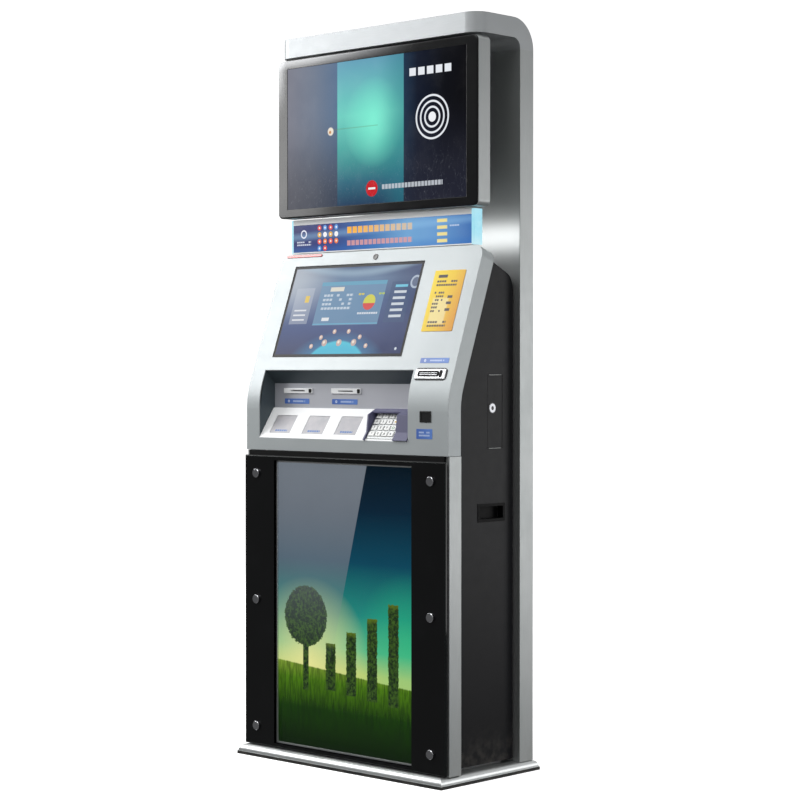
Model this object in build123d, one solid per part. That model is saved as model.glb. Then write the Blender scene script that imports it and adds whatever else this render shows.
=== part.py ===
"""Self-service banking kiosk: plinth, cabinet, sloping console, light banner, display and canopy."""
from build123d import *
import os
from math import cos, radians, sin, tan

os.makedirs("parts", exist_ok=True)

# Frame: millimetres, +Z up, origin on the floor under the middle of the plinth.
# The customer stands at -Y and +X is on the customer's right.

# ---------------------------------------------------------------- overall sizes
total_height = 2075.0        # floor to the top of the canopy
front_width = 786.0          # front posts and console fascia
post_width = 28.0
body_margin = 5.0            # column, canopy and display stand this far inside the front
plinth_margin = 5.0          # the plinth stands out by this much
body_width = front_width - 2 * body_margin
cabinet_width = front_width - 2 * post_width
plinth_width = front_width + 2 * plinth_margin
plinth_depth = 406.0
plinth_height = 28.0
plinth_lip = 9.0             # upright edge below the rounded shoulder
plinth_shoulder = 17.0       # radius of the rounded shoulder
shoulder_step = 1.5          # the shoulder starts this far inside the lip
anchor_spacing_x = 560.0
anchor_spacing_y = 240.0
anchor_bore = 14.0

# ---------------------------------------------------------------- rear column and canopy
column_front = 130.0         # front face of the column
column_depth = 56.0
column_back = column_front + column_depth
canopy_front = -48.5
canopy_thickness = 56.0
canopy_drop = 85.0           # height of the canopy housing with its bend
corner_seam = total_height - canopy_drop
canopy_outer_bend = 84.0
canopy_inner_bend = 28.0
canopy_plan_corner = 45.0
canopy_wall = 3.0
sheet = 2.0                  # general sheet metal
face_sheet = 2.0             # brushed column face
trim_wall = 3.0              # aluminium side strips
trim_return = 12.0
rear_margin = 14.0           # rear cover inside the column's ends
rear_vent_count = 9
rear_vent_length = 220.0
rear_vent_width = 3.6
rear_vent_pitch = 16.0
rear_vent_low = 240.0
screw_head = 9.0
screw_head_height = 2.2
screw_shank = 4.0
screw_round = 1.3            # rounding of the screw heads
core_lip = 7.0               # the core's rear lips reach this far past the trims
rear_screw_rows = 5
gland_diameter = 26.0        # across the nut's corners
gland_nut_height = 5.8
gland_dome_diameter = 21.8
gland_dome_height = 13.0
gland_dome_round = 3.0
gland_thread_diameter = 18.2
gland_thread_length = 8.0
gland_bore = 9.0
gland_height = 110.0
gland_offset = 290.0
cut_over = 1.0               # cuts run past the faces that they open
same_place = 0.01            # edges closer than this to a place are at it

# ---------------------------------------------------------------- lower cabinet
console_base = 880.0         # seam between lower cabinet and console
seam_gap = 1.0
post_front = -165.0
post_depth = 47.0
post_wall = 3.0
glass_front = -180.0
glass_thickness = 8.0
glass_margin = 2.0
glass_bevel = 2.5
glass_width = front_width - 2 * glass_margin
glass_low = 30.0
glass_high = 865.0
window_width = 538.0
window_low = 42.0
window_high = 852.0
carrier_inset = 10.0         # black carrier inside the glass edge
poster_thickness = 8.0
poster_margin = 6.0
standoff_inset = 51.0
standoff_x = glass_width / 2 - standoff_inset
standoff_heights = (85.0, 450.0, 813.0)
standoff_head = 26.0
standoff_head_height = 7.0
standoff_bevel = 1.5
standoff_shank = 8.0
panel_low = 38.0
panel_sheet = 2.5
panel_gap = 2.0              # shadow gap around the side panels
panel_return = 14.0          # depth of the folded edges
tube = 22.0                  # square tube of the inner frame
frame_inset = 35.0           # centre line of the side portals, inside the panels
frame_rear_gap = 2.0         # rear uprights in front of the door's axis
frame_front_gap = 6.0        # front uprights behind the posts
frame_rise = 250.0           # rear uprights above the fascia's bend
frame_clearance = 52.0       # front uprights below the console seam
frame_anchor_access = 28.0   # holes that let the anchor bolts through the lower tubes
frame_half = cabinet_width / 2 - frame_inset
frame_mid_rail = 470.0

# ---------------------------------------------------------------- console
fascia_front = -170.0
slope_angle = 19.8           # lean of the upper fascia
bend_height = 1042.0         # where the upright and sloping planes would meet
bend_radius = 250.0
slope_top = 432.0            # top edge, measured up the slope from the bend line
fascia_sheet = 3.0
hood_start_depth = post_front - fascia_front + post_depth + panel_gap
fascia_rim = hood_start_depth - 2 * panel_gap
fascia_corner = 34.0
hood_angle = 25.7            # the hood falls to the rear by this much
hood_drop = 17.0             # hood below the fascia rim
hood_bend = 46.0
hood_skirt = 46.0
hood_side_gap = 1.3          # room for the side door's rear edge as it turns
hood_inset_share = 0.9       # thickness of the panel's fold, measured up the slope
fit_gap = 0.4

# touch screen, in slope coordinates (x, distance up the slope)
touch_x = -69.0
touch_s = 251.5
touch_width = 512.0
touch_height = 280.0
touch_glass_thickness = 4.0
touch_glass_step = 0.6       # glass below the fascia's face
touch_module_depth = 38.0
touch_module_rim = 8.0       # module behind the fascia, wider than the glass by this
camera_x = -8.0
camera_s = 411.0
camera_diameter = 15.0
camera_depth = 26.0
camera_proud = 1.2
camera_round = 0.8
camera_well = 8.25           # lens well
camera_well_depth = 1.0
receipt_x = 312.0
receipt_s = 59.5
receipt_width = 110.0
receipt_height = 29.0
receipt_proud = 4.0
receipt_round = 2.0
receipt_neck_x = 90.0
receipt_neck_s = 19.0
receipt_neck_depth = 5.0
receipt_cutout_gap = 1.0     # fascia cut-out around the bezel's neck
receipt_slot_width = 80.0
paper_slot_width = 60.0
receipt_slot_height = 3.6
printer_width = 74.0
printer_wall = 2.0
printer_height = 96.0
printer_depth = 104.0
printer_gap = 6.0            # printer behind the fascia's face
printer_rise = 8.0           # printer's middle above the slot
roll_diameter = 56.0
roll_core = 13.0
roll_width = 57.5
roll_spindle = 12.9
roll_rise = 10.0             # roll's centre above the slot
roll_inset = 10.0            # roll inside the printer's open rear
finger_x = 311.0
finger_z = 984.0
finger_width = 41.0
finger_height = 30.0
finger_depth = 24.0
finger_proud = 2.0
finger_round = 1.2
finger_window_share = 0.66   # sensor window, as a share of the reader's face
finger_window_depth = 1.0

# recess with card slots and keypad
recess_left = -341.0
recess_right = 246.0
recess_low = 916.0
recess_top_s = 72.0
recess_back = -107.4
recess_reach = 40.0          # the cut for the recess starts this far in front
ceiling_low = 1071.0
ledge_height = 1001.0
ledge_depth = 5.0
liner_sheet = 2.0
ceiling_sheet = 3.2          # ceiling of the recess
card_slot_x = (-242.0, -48.6)
card_slot_z = 1050.0
card_bezel_width = 116.0
card_bezel_height = 15.0
card_bezel_proud = 4.0
card_bezel_round = 1.5
card_neck_margin = 4.0       # neck around the card throat
card_neck_height = 7.0
card_cutout_gap = 2.0        # panel cut-out around the neck, to each side
card_throat_share = 0.7      # the throat reaches this far into the reader
card_slot_width = 58.0
card_slot_height = 3.4
reader_width = 92.0
reader_height = 42.0
reader_depth = 120.0
tile_x = (-267.0, -134.0, -4.5)
tile_width = 84.0
tile_length = 61.0
tile_s = 46.5
tile_depth = 2.5
shelf_sheet = 6.0
shelf_nose = 2.0             # bevel under the shelf's front edge

# PIN pad, in shelf coordinates (x, distance up the shelf from its front edge)
pad_x = 138.0
pad_s = 50.0
pad_proud = 1.5
pad_depth = 26.0
key_columns = 4
key_rows = 4
key_width = 20.0
key_length = 15.0
key_pitch_x = key_width + 4.0
key_pitch_s = key_length + 4.5
key_proud = 2.6
key_height = 6.0
key_gap = 0.35
pad_border_x = 4.0
pad_border_s = 5.0
pad_width = key_columns * key_pitch_x + 2 * pad_border_x
pad_length = key_rows * key_pitch_s + 2 * pad_border_s
key_travel = 1.5
key_round = 1.6
shield_wall = 5.0
shield_back = -122.0         # rear edge of the roof
shield_top = 1003.0
shield_brow = -154.0         # upper front corner of the wings
shield_brow_height = 987.0
shield_roof = 4.0            # thickness of the roof
shield_roof_front = -138.0   # the roof between the wings ends here
shield_shin = -160.0         # where the wings turn out to their toes
shield_shin_height = 940.0
shield_toe = -175.0
shield_toe_height = 918.5
shield_lift = 0.6            # feet stand this far off the shelf
shield_side_gap = 1.0

# ---------------------------------------------------------------- banner and display
banner_width = 714.0
banner_front = -26.0
banner_depth = 36.0
banner_seat_gap = 1.0        # banner above the fascia's top edge
banner_height = 97.5
banner_end = 9.0
banner_wall = 3.0
banner_top_wall = 15.0
banner_face_step = 0.5       # face inside the housing's front edge
banner_face_thickness = 3.0
banner_foot = 52.0           # width of each of the two feet
banner_foot_place = 0.6      # feet at this share of the half width
banner_foot_front = 16.2     # feet behind the banner's front
banner_foot_depth = 10.8
banner_end_round = 4.0
display_height = 460.0
display_gap = 7.0            # display below the canopy
display_high = total_height - canopy_thickness - display_gap
display_low = display_high - display_height
display_front = -49.0
display_bezel_depth = 6.0
display_back = 8.0
display_corner = 16.0
display_wall = 3.0
display_casing_round = 6.0
display_bezel_round = 4.0
screen_width = 698.4
screen_height = 410.0
screen_module_depth = 26.0
screen_step = 1.0            # glass below the bezel's face
screen_module_rim = 8.0      # module wider than the picture by this
bracket_width = 260.0
bracket_height = 220.0
bracket_arm = 40.0
bracket_plate = 4.0
bracket_web = 6.0

# ---------------------------------------------------------------- service door
door_axis_inset = 8.5
door_axis_gap = 11.5
door_rear_gap = 5.0
door_axis_x = cabinet_width / 2 - door_axis_inset
door_axis_y = column_front - door_axis_gap
door_rear = column_front - door_rear_gap
hinge_heights = (150.0, 640.0, 1180.0)
hinge_length = 34.0
knuckle_radius = 4.6
hinge_pin = 5.0
pin_clearance = 0.05         # radial
hinge_end_gap = 0.4
hinge_leaf = 3.0
hinge_leaf_step = 1.0        # leaf in front of the axis
door_web_share = 0.6         # web as thick as this share of the knuckle
weld_depth = 0.5             # welded pieces sink this far into a skin
door_cut_height = 350.0      # folded rear edge left off up to this far above the seam
handle_y = 36.0
handle_z = 721.0
handle_width = 112.0
handle_height = 50.0
handle_rim = 6.0
handle_proud = 1.5
handle_depth = 21.0
handle_wall = 1.6
access_y0 = 20.0
access_y1 = 82.0
access_z0 = 896.0
access_z1 = 1096.0
access_gap = 0.6
access_thickness = 2.2
access_axis_inset = 3.7
access_rear_gap = 1.5         # wider, so that the leaf's edge turns clear
access_barrel = 2.6
access_pin = 2.0
access_barrel_step = 0.2     # barrel below the leaf's face
access_ear = 7.0             # height of each ear
access_ear_half = 6.0
access_pin_reach = 6.0       # pin past each end of the leaf
lock_y = 38.7
lock_z = 1005.5
lock_face = 27.0
lock_proud = 2.5
lock_body = 18.0
lock_length = 6.0
lock_plug_diameter = 11.0
lock_round = 1.5
keyhole_width = 1.6
keyhole_height = 6.4
keyhole_depth = 2.0
cam_length = 26.0
cam_width = 10.0
cam_thickness = 2.0

# ---------------------------------------------------------------- computer
computer_x = (-250.0, 90.0)
computer_y = (-70.0, 70.0)
computer_height = 110.0
computer_wall = 1.5
fan_diameter = 74.0
fan_hub = 26.0
fan_bore = 3.2
fan_axle = 3.1
fan_depth = 12.0
fan_blades = 7
fan_blade = 1.6
fan_blade_pitch = 35.0
fan_blade_share = 0.9        # blade's width in the hub's depth
fan_root = 1.0               # blades sink this far into the hub
fan_tip_gap = 2.0            # case opening around the blades
fan_recess = 10.0            # fan inside the case wall
fan_spider = 3.0
fan_spider_width = 10.0
fan_end_gap = 1.0
fan_axle_over = 4.0          # axle past the rotor

# ---------------------------------------------------------------- worked-out places
lean = radians(slope_angle)
up_slope = Vector(0, sin(lean), cos(lean))
inward = Vector(0, cos(lean), -sin(lean))
bend_line = Vector(0, fascia_front, bend_height)
slope_plane = Plane(origin=bend_line, x_dir=(1, 0, 0), z_dir=inward * -1)
bend_reach = bend_radius * tan(lean / 2)
arc_low = bend_height - bend_reach
half_front = front_width / 2
half_body = body_width / 2
half_cabinet = cabinet_width / 2
post_back = post_front + post_depth
banner_low = bend_line.Z + slope_top * cos(lean) + banner_seat_gap
banner_high = banner_low + banner_height
recess_top = bend_line + up_slope * recess_top_s
shelf_front = Vector(0, fascia_front, recess_low)
shelf_rear = Vector(0, recess_back - ledge_depth, ledge_height)
shelf_run = shelf_rear - shelf_front
shelf_up = shelf_run.normalized()
shelf_out = Vector(0, -shelf_up.Z, shelf_up.Y)
shelf_plane = Plane(origin=shelf_front, x_dir=(1, 0, 0), z_dir=shelf_out)


def on_slope(distance, depth):
    """Point (y, z) a distance up the sloping fascia and a depth behind its face."""
    point = bend_line + up_slope * distance + inward * depth
    return point.Y, point.Z


def span(first, second):
    """The (low, high) pair of two coordinates given in any order."""
    return min(first, second), max(first, second)


def block(x, y, z):
    """Box from three (low, high) pairs."""
    solid = Box(x[1] - x[0], y[1] - y[0], z[1] - z[0])
    return Pos((x[0] + x[1]) / 2, (y[0] + y[1]) / 2, (z[0] + z[1]) / 2) * solid


def box_on(plane, centre, size, low, high):
    """Box standing on a plane: centre and size in the plane, low and high along its normal."""
    return plane * Pos(centre[0], centre[1], (low + high) / 2) * Box(size[0], size[1], high - low)


def rod_on(plane, centre, diameter, low, high):
    """Cylinder standing on a plane."""
    return plane * Pos(centre[0], centre[1], (low + high) / 2) * Cylinder(diameter / 2, high - low)


def prism(points, x):
    """Polygon of (y, z) points, drawn out along X between x[0] and x[1]."""
    outline = Polyline(*[(x[0], y, z) for y, z in points], close=True)
    return extrude(make_face(outline), amount=x[1] - x[0], dir=(1, 0, 0))


def bend_edges(depth, low, distance, x):
    """Edges and end points of the fascia line at a depth behind the face."""
    radius = bend_radius - depth
    centre = Vector(x, fascia_front + bend_radius, arc_low)
    start = Vector(x, fascia_front + depth, low)
    low_tangent = Vector(x, fascia_front + depth, arc_low)
    middle = centre + Vector(0, -cos(lean / 2), sin(lean / 2)) * radius
    high_tangent = centre + Vector(0, -cos(lean), sin(lean)) * radius
    top = Vector(x, *on_slope(distance, depth))
    edges = [Line(start, low_tangent), ThreePointArc(low_tangent, middle, high_tangent)]
    edges.append(Line(high_tangent, top))
    return edges, start, top


def bent_band(depths, low, distance, x):
    """Solid between two depths behind the fascia's face, following its bend."""
    outer, outer_start, outer_top = bend_edges(depths[0], low, distance, x[0])
    inner, inner_start, inner_top = bend_edges(depths[1], low, distance, x[0])
    edges = outer + inner + [Line(outer_top, inner_top), Line(inner_start, outer_start)]
    return extrude(make_face(edges), amount=x[1] - x[0], dir=(1, 0, 0))


def vertical_edges_near(solid, y):
    """Upright edges whose middle lies at a given y."""
    return [e for e in solid.edges().filter_by(Axis.Z) if abs(e.center().Y - y) < same_place]


def cross_edge_at(solid, y, z):
    """The edge along X that passes a given (y, z)."""
    across = solid.edges().filter_by(Axis.X)
    return [e for e in across if abs(e.center().Y - y) < same_place and abs(e.center().Z - z) < same_place]


def front_edges(solid, y):
    """Edges of the flat face at y that looks at the customer."""
    return [e for e in solid.edges() if abs(e.center().Y - y) < same_place]


def joined(solids):
    """One solid from several that touch or overlap."""
    whole = solids[0]
    for solid in solids[1:]:
        whole += solid
    return whole


def save(name, *solids):
    """Write one sub-part as its own STEP file."""
    shape = solids[0] if len(solids) == 1 else Compound(children=list(solids))
    export_step(shape, f"parts/{name}.step")


# ---------------------------------------------------------------- plinth
def make_plinth():
    """Solid foot plate with a rounded shoulder and four anchor holes."""
    lip = Pos(0, 0, plinth_lip / 2) * Box(plinth_width, plinth_depth, plinth_lip)
    half_x = plinth_width / 2 - shoulder_step
    half_y = plinth_depth / 2 - shoulder_step
    upper = block((-half_x, half_x), (-half_y, half_y), (plinth_lip, plinth_height))
    upper = fillet(upper.faces().sort_by(Axis.Z)[-1].edges(), plinth_shoulder)
    plate = lip + upper
    for x in (-1, 1):
        for y in (-1, 1):
            place = Pos(x * anchor_spacing_x / 2, y * anchor_spacing_y / 2, plinth_height / 2)
            plate -= place * Cylinder(anchor_bore / 2, plinth_height * 2)
    return plate


# ---------------------------------------------------------------- rear column and canopy
def make_column_core():
    """Folded channel with its open side to the rear and a lip along each rear edge."""
    half = half_body - trim_wall - fit_gap
    front = column_front + face_sheet
    rear = column_back - sheet - fit_gap
    lip_end = half_body - trim_return - fit_gap - core_lip
    inner = half - sheet
    inner_z = (plinth_height + sheet, corner_seam - sheet)
    core = block((-half, half), (front, rear), (plinth_height, corner_seam))
    core -= block((-inner, inner), (front + sheet, rear + cut_over), inner_z)
    for side in (-1, 1):
        core += block(span(side * lip_end, side * inner), (rear - sheet, rear), inner_z)
    return core


def make_column_face():
    half = half_body - trim_wall - fit_gap
    face_y = (column_front, column_front + face_sheet)
    return block((-half, half), face_y, (plinth_height + fit_gap, corner_seam))


def make_side_trim(side):
    """Side strip of the column, folded in behind the rear cover's edge."""
    outer = side * half_body
    trim_z = (plinth_height, corner_seam)
    wall = block(span(outer, outer - side * trim_wall), (column_front, column_back), trim_z)
    rear = block(span(outer, outer - side * trim_return), (column_back - sheet, column_back), trim_z)
    return wall + rear


def rear_screw_places():
    """Screw positions (x, z) around the rear cover."""
    half = half_body - trim_return - rear_margin
    low = plinth_height + 2 * rear_margin
    high = corner_seam - 2 * rear_margin
    rows = [low + (high - low) * row / (rear_screw_rows - 1) for row in range(rear_screw_rows)]
    return [(side * half, z) for side in (-1, 1) for z in rows]


def make_rear_cover():
    half = half_body - trim_return - fit_gap
    low = plinth_height + rear_margin
    high = corner_seam - rear_margin
    cover = block((-half, half), (column_back - sheet, column_back), (low, high))
    slot = Box(rear_vent_length, sheet + 2 * cut_over, rear_vent_width)
    upper_vents = corner_seam - rear_vent_low - rear_vent_count * rear_vent_pitch
    for row in range(rear_vent_count):
        for base in (rear_vent_low, upper_vents):
            cover -= Pos(0, column_back - sheet / 2, base + row * rear_vent_pitch) * slot
    for x, z in rear_screw_places():
        cover -= rear_hole(x, z, screw_shank + 2 * fit_gap)
    return cover - rear_hole(gland_offset, gland_height, gland_thread_diameter + 2 * fit_gap)


def rear_hole(x, z, diameter):
    """Round hole through the rear cover."""
    return Pos(x, column_back, z) * Rot(90, 0, 0) * Cylinder(diameter / 2, 2 * (sheet + cut_over))


def make_rear_screws():
    screws = []
    for x, z in rear_screw_places():
        place = Pos(x, column_back, z) * Rot(-90, 0, 0)
        head = Pos(0, 0, screw_head_height / 2) * Cylinder(screw_head / 2, screw_head_height)
        head = fillet(head.edges().sort_by(Axis.Z)[-1], screw_round)
        shank = Pos(0, 0, -sheet / 2 - fit_gap) * Cylinder(screw_shank / 2, sheet + 2 * fit_gap)
        screws.append(place * (head + shank))
    return screws


def make_cable_gland():
    """Gland for the mains cable: hexagon nut, dome and a thread through the rear cover."""
    place = Pos(gland_offset, column_back, gland_height) * Rot(-90, 0, 0)
    dome = Pos(0, 0, gland_dome_height / 2) * Cylinder(gland_dome_diameter / 2, gland_dome_height)
    dome = fillet(dome.edges().sort_by(Axis.Z)[-1], gland_dome_round)
    nut = extrude(RegularPolygon(gland_diameter / 2, 6), gland_nut_height)
    thread = Pos(0, 0, -gland_thread_length / 2) * Cylinder(gland_thread_diameter / 2, gland_thread_length)
    bore = Cylinder(gland_bore / 2, 2 * (gland_dome_height + gland_thread_length))
    return place * (nut + dome + thread - bore)


def canopy_solid(inset):
    """Bent canopy body, shrunk by an inset on every side but the open lower end."""
    top = total_height - inset
    under = total_height - canopy_thickness + inset
    front = canopy_front + inset
    rear = column_back - inset
    throat = column_front + inset
    low = corner_seam - inset
    half = half_body - inset
    outline = [(rear, low), (rear, top), (front, top), (front, under), (throat, under), (throat, low)]
    body = prism(outline, (-half, half))
    body = fillet(cross_edge_at(body, rear, top), canopy_outer_bend - inset)
    body = fillet(cross_edge_at(body, throat, under), canopy_inner_bend + inset)
    return fillet(vertical_edges_near(body, front), canopy_plan_corner - inset)


def make_canopy():
    return canopy_solid(0) - canopy_solid(canopy_wall)


# ---------------------------------------------------------------- lower cabinet
def make_post(side):
    """Hollow front post."""
    outer = side * half_front
    inner = side * half_cabinet
    low = plinth_height
    high = console_base - seam_gap
    post = block(span(inner, outer), (post_front, post_back), (low, high))
    hollow_x = span(inner + side * post_wall, outer - side * post_wall)
    hollow_y = (post_front + post_wall, post_back - post_wall)
    return post - block(hollow_x, hollow_y, (low - cut_over, high + cut_over))


def make_front_glass():
    """Bevelled front glass with a hole for each screw."""
    glass_y = (glass_front, glass_front + glass_thickness)
    glass = block((-glass_width / 2, glass_width / 2), glass_y, (glass_low, glass_high))
    glass = chamfer(glass.faces().sort_by(Axis.Y)[0].edges(), glass_bevel)
    return glass - standoff_holes()


def standoff_holes():
    """Holes for the screws, through the glass and its carrier."""
    bore = Cylinder(standoff_shank / 2 + fit_gap, 2 * (post_front - glass_front + cut_over))
    return joined([Pos(x, glass_front, z) * Rot(90, 0, 0) * bore for x, z in standoff_places()])


def standoff_places():
    """Centres (x, z) of the screws that hold the glass."""
    return [(side * standoff_x, z) for side in (-1, 1) for z in standoff_heights]


def make_standoffs():
    screws = []
    for x, z in standoff_places():
        place = Pos(x, glass_front, z) * Rot(90, 0, 0)
        head = Pos(0, 0, standoff_head_height / 2) * Cylinder(standoff_head / 2, standoff_head_height)
        head = chamfer(head.edges().sort_by(Axis.Z)[-1], standoff_bevel)
        length = post_front - glass_front
        shank = Pos(0, 0, -length / 2) * Cylinder(standoff_shank / 2, length)
        screws.append(place * (head + shank))
    return screws


def make_glass_carrier():
    """Black frame between the glass and the posts, open around the poster."""
    half = glass_width / 2 - carrier_inset
    back = glass_front + glass_thickness
    window_y = (back - cut_over, post_front + cut_over)
    carrier = block((-half, half), (back, post_front), (glass_low, console_base - seam_gap))
    carrier -= block((-window_width / 2, window_width / 2), window_y, (window_low, window_high))
    return carrier - standoff_holes()


def make_poster_panel():
    """Back-lit panel behind the glass."""
    half = window_width / 2 + poster_margin
    return block((-half, half), (post_front, post_front + poster_thickness),
                 (window_low - poster_margin + fit_gap, window_high + poster_margin))


def make_inner_frame():
    """Welded frame of square tubes with a sheet shelf across its middle."""
    rear = door_axis_y - tube - frame_rear_gap
    front = post_back + tube / 2 + frame_front_gap
    low = plinth_height
    high = bend_height + frame_rise
    shoulder = console_base - frame_clearance
    rear_y = (rear - tube / 2, rear + tube / 2)
    front_y = (front - tube / 2, front + tube / 2)
    rail_levels = (low, frame_mid_rail, shoulder - tube)
    pieces = []
    for side in (-1, 1):
        tube_x = (side * frame_half - tube / 2, side * frame_half + tube / 2)
        pieces.append(block(tube_x, rear_y, (low, high)))
        pieces.append(block(tube_x, front_y, (low, shoulder)))
        for z in rail_levels:
            pieces.append(block(tube_x, (front_y[0], rear), (z, z + tube)))
    for z in rail_levels:
        for rail_y in (rear_y, front_y):
            pieces.append(block((-frame_half, frame_half), rail_y, (z, z + tube)))
    shelf_top = frame_mid_rail + tube
    pieces.append(block((-frame_half, frame_half), (front, rear), (shelf_top - sheet, shelf_top)))
    frame = joined(pieces)
    for x in (-1, 1):
        for y in (-1, 1):
            place = Pos(x * anchor_spacing_x / 2, y * anchor_spacing_y / 2, low)
            frame -= place * Cylinder(frame_anchor_access / 2, 2 * (tube + cut_over))
    return frame


# ---------------------------------------------------------------- side panels
def panel_face(x, rear, inset=0.0):
    """Outline of a side panel in the plane at x."""
    depth = hood_start_depth + inset
    fall = tan(radians(hood_angle))
    distance = slope_top - hood_drop - inset * hood_inset_share
    edges, start, top = bend_edges(depth, panel_low + inset, distance, x)
    end = Vector(x, rear - inset, top.Z - fall * (rear - inset - top.Y))
    foot = Vector(x, rear - inset, panel_low + inset)
    face = make_face(edges + [Line(top, end), Line(end, foot), Line(foot, start)])
    corner = face.vertices().sort_by_distance(end)[0]
    return fillet(corner, hood_bend - inset)


def panel_solid(side, rear, open_rear):
    """Skin with folded edges; x grows outward on the given side."""
    inner_x = half_cabinet - panel_return
    outer = extrude(panel_face(inner_x, rear), amount=panel_return, dir=(1, 0, 0))
    depth = panel_return - panel_sheet + cut_over
    shell = outer - extrude(panel_face(inner_x - cut_over, rear, panel_sheet), amount=depth, dir=(1, 0, 0))
    if open_rear:
        fold_x = (inner_x - cut_over, half_cabinet - panel_sheet)
        shell -= block(fold_x, (rear - hood_bend, rear + cut_over),
                       (panel_low + panel_sheet, console_base + door_cut_height))
    return shell if side > 0 else mirror(shell, about=Plane.YZ)


def make_side_panel_left():
    return panel_solid(-1, column_front - panel_gap, False)


def knuckle(low, high, radius):
    """Cylinder on the side door's axis."""
    return Pos(door_axis_x, door_axis_y, (low + high) / 2) * Cylinder(radius, high - low)


def make_side_door():
    """Right side panel, with hinge knuckles, a handle cut-out and the access door's opening."""
    door = panel_solid(1, door_rear, True)
    skin = half_cabinet - panel_sheet
    web_half = knuckle_radius * door_web_share
    for z in hinge_heights:
        low = z + hinge_end_gap
        high = low + hinge_length
        web_y = (door_axis_y - web_half, door_axis_y + web_half)
        door += knuckle(low, high, knuckle_radius)
        door += block((door_axis_x, skin + weld_depth), web_y, (low, high))
        door -= knuckle(low - cut_over, high + cut_over, hinge_pin / 2 + pin_clearance)
    hole_x = (half_cabinet - panel_return - cut_over, half_cabinet + cut_over)
    reach_y = handle_width / 2 - handle_rim
    reach_z = handle_height / 2 - handle_rim
    door -= block(hole_x, (handle_y - reach_y, handle_y + reach_y), (handle_z - reach_z, handle_z + reach_z))
    door -= block((skin - cut_over, half_cabinet + cut_over), (access_y0, access_y1), (access_z0, access_z1))
    door += make_access_ears()
    return door - access_rod(access_pin + 2 * pin_clearance, access_ear + cut_over)


def access_axis():
    """Centre (x, y) of the access door's hinge."""
    return half_cabinet - access_barrel, access_y1 - access_axis_inset


def access_rod(diameter, reach):
    """Cylinder on the access door's axis that reaches past both ends of its opening."""
    x, y = access_axis()
    middle = (access_z0 + access_z1) / 2
    return Pos(x, y, middle) * Cylinder(diameter / 2, access_z1 - access_z0 + 2 * reach)


def make_access_ears():
    """Two ears behind the skin that hold the access door's pivots."""
    x, y = access_axis()
    ear_x = (x - access_barrel - cut_over, half_cabinet - panel_sheet + weld_depth)
    ear_y = (y - access_ear_half, y + access_ear_half)
    levels = ((access_z0 - access_ear, access_z0), (access_z1, access_z1 + access_ear))
    return joined([block(ear_x, ear_y, level) for level in levels])


def make_access_door():
    """Narrow leaf with a barrel and pin along its rear edge and a hole for the lock."""
    leaf_x = (half_cabinet - access_thickness, half_cabinet)
    leaf_y = (access_y0 + access_gap, access_y1 - access_rear_gap)
    leaf = block(leaf_x, leaf_y, (access_z0 + access_gap, access_z1 - access_gap))
    leaf += access_rod(2 * (access_barrel - access_barrel_step), -access_gap)
    leaf += access_rod(access_pin, access_pin_reach)
    return leaf - lock_rod(lock_body + 2 * fit_gap, -lock_length, lock_proud)


def lock_rod(diameter, low, high):
    """Cylinder on the lock's axis, from low to high outside the door's face."""
    plane = Plane(origin=(half_cabinet, lock_y, lock_z), x_dir=(0, 1, 0), z_dir=(1, 0, 0))
    return rod_on(plane, (0, 0), diameter, low, high)


def make_lock_barrel():
    face = lock_rod(lock_face, 0, lock_proud)
    face = fillet(face.edges().sort_by(Axis.X)[-1], lock_round)
    bore = lock_rod(lock_plug_diameter + 2 * pin_clearance, -lock_length - cut_over, lock_proud + cut_over)
    return face + lock_rod(lock_body, -lock_length, 0) - bore


def make_lock_plug():
    """Turning plug with a keyhole in front and a cam behind."""
    cam_outer = -lock_length - fit_gap
    plug = lock_rod(lock_plug_diameter, cam_outer - cam_thickness, lock_proud)
    face = half_cabinet + lock_proud
    keyhole_y = (lock_y - keyhole_width / 2, lock_y + keyhole_width / 2)
    keyhole_z = (lock_z - keyhole_height / 2, lock_z + keyhole_height / 2)
    keyhole = block((face - keyhole_depth, face + cut_over), keyhole_y, keyhole_z)
    cam_x = (half_cabinet + cam_outer - cam_thickness, half_cabinet + cam_outer)
    cam_y = (lock_y - cam_width / 2, lock_y + cam_width / 2)
    cam = block(cam_x, cam_y, (lock_z - cam_width / 2, lock_z + cam_length))
    return plug - keyhole + cam


def make_door_hinges():
    """Fixed lower leaves, each with its pin standing up into the door's knuckle."""
    hinges = []
    anchor_x = frame_half + tube / 2
    leaf_front = door_axis_y - hinge_leaf_step
    for z in hinge_heights:
        level = (z - hinge_length, z)
        barrel = knuckle(level[0], level[1], knuckle_radius)
        pin = knuckle(z - weld_depth, z + hinge_length, hinge_pin / 2)
        plate = block((anchor_x, door_axis_x), (leaf_front - hinge_leaf, leaf_front), level)
        leg = block((anchor_x, anchor_x + hinge_leaf), (door_axis_y - tube, leaf_front), level)
        hinges.append(joined([barrel, pin, plate, leg]))
    return hinges


def make_pull_handle():
    plane = Plane(origin=(half_cabinet, handle_y, handle_z), x_dir=(0, 1, 0), z_dir=(1, 0, 0))
    edge = 2 * (handle_rim + fit_gap)
    cup_size = (handle_width - edge, handle_height - edge)
    pocket_size = (cup_size[0] - 2 * handle_wall, cup_size[1] - 2 * handle_wall)
    rim = box_on(plane, (0, 0), (handle_width, handle_height), 0, handle_proud)
    cup = box_on(plane, (0, 0), cup_size, -handle_depth, 0)
    pocket = box_on(plane, (0, 0), pocket_size, -handle_depth + handle_wall, handle_proud + cut_over)
    return rim + cup - pocket


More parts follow.
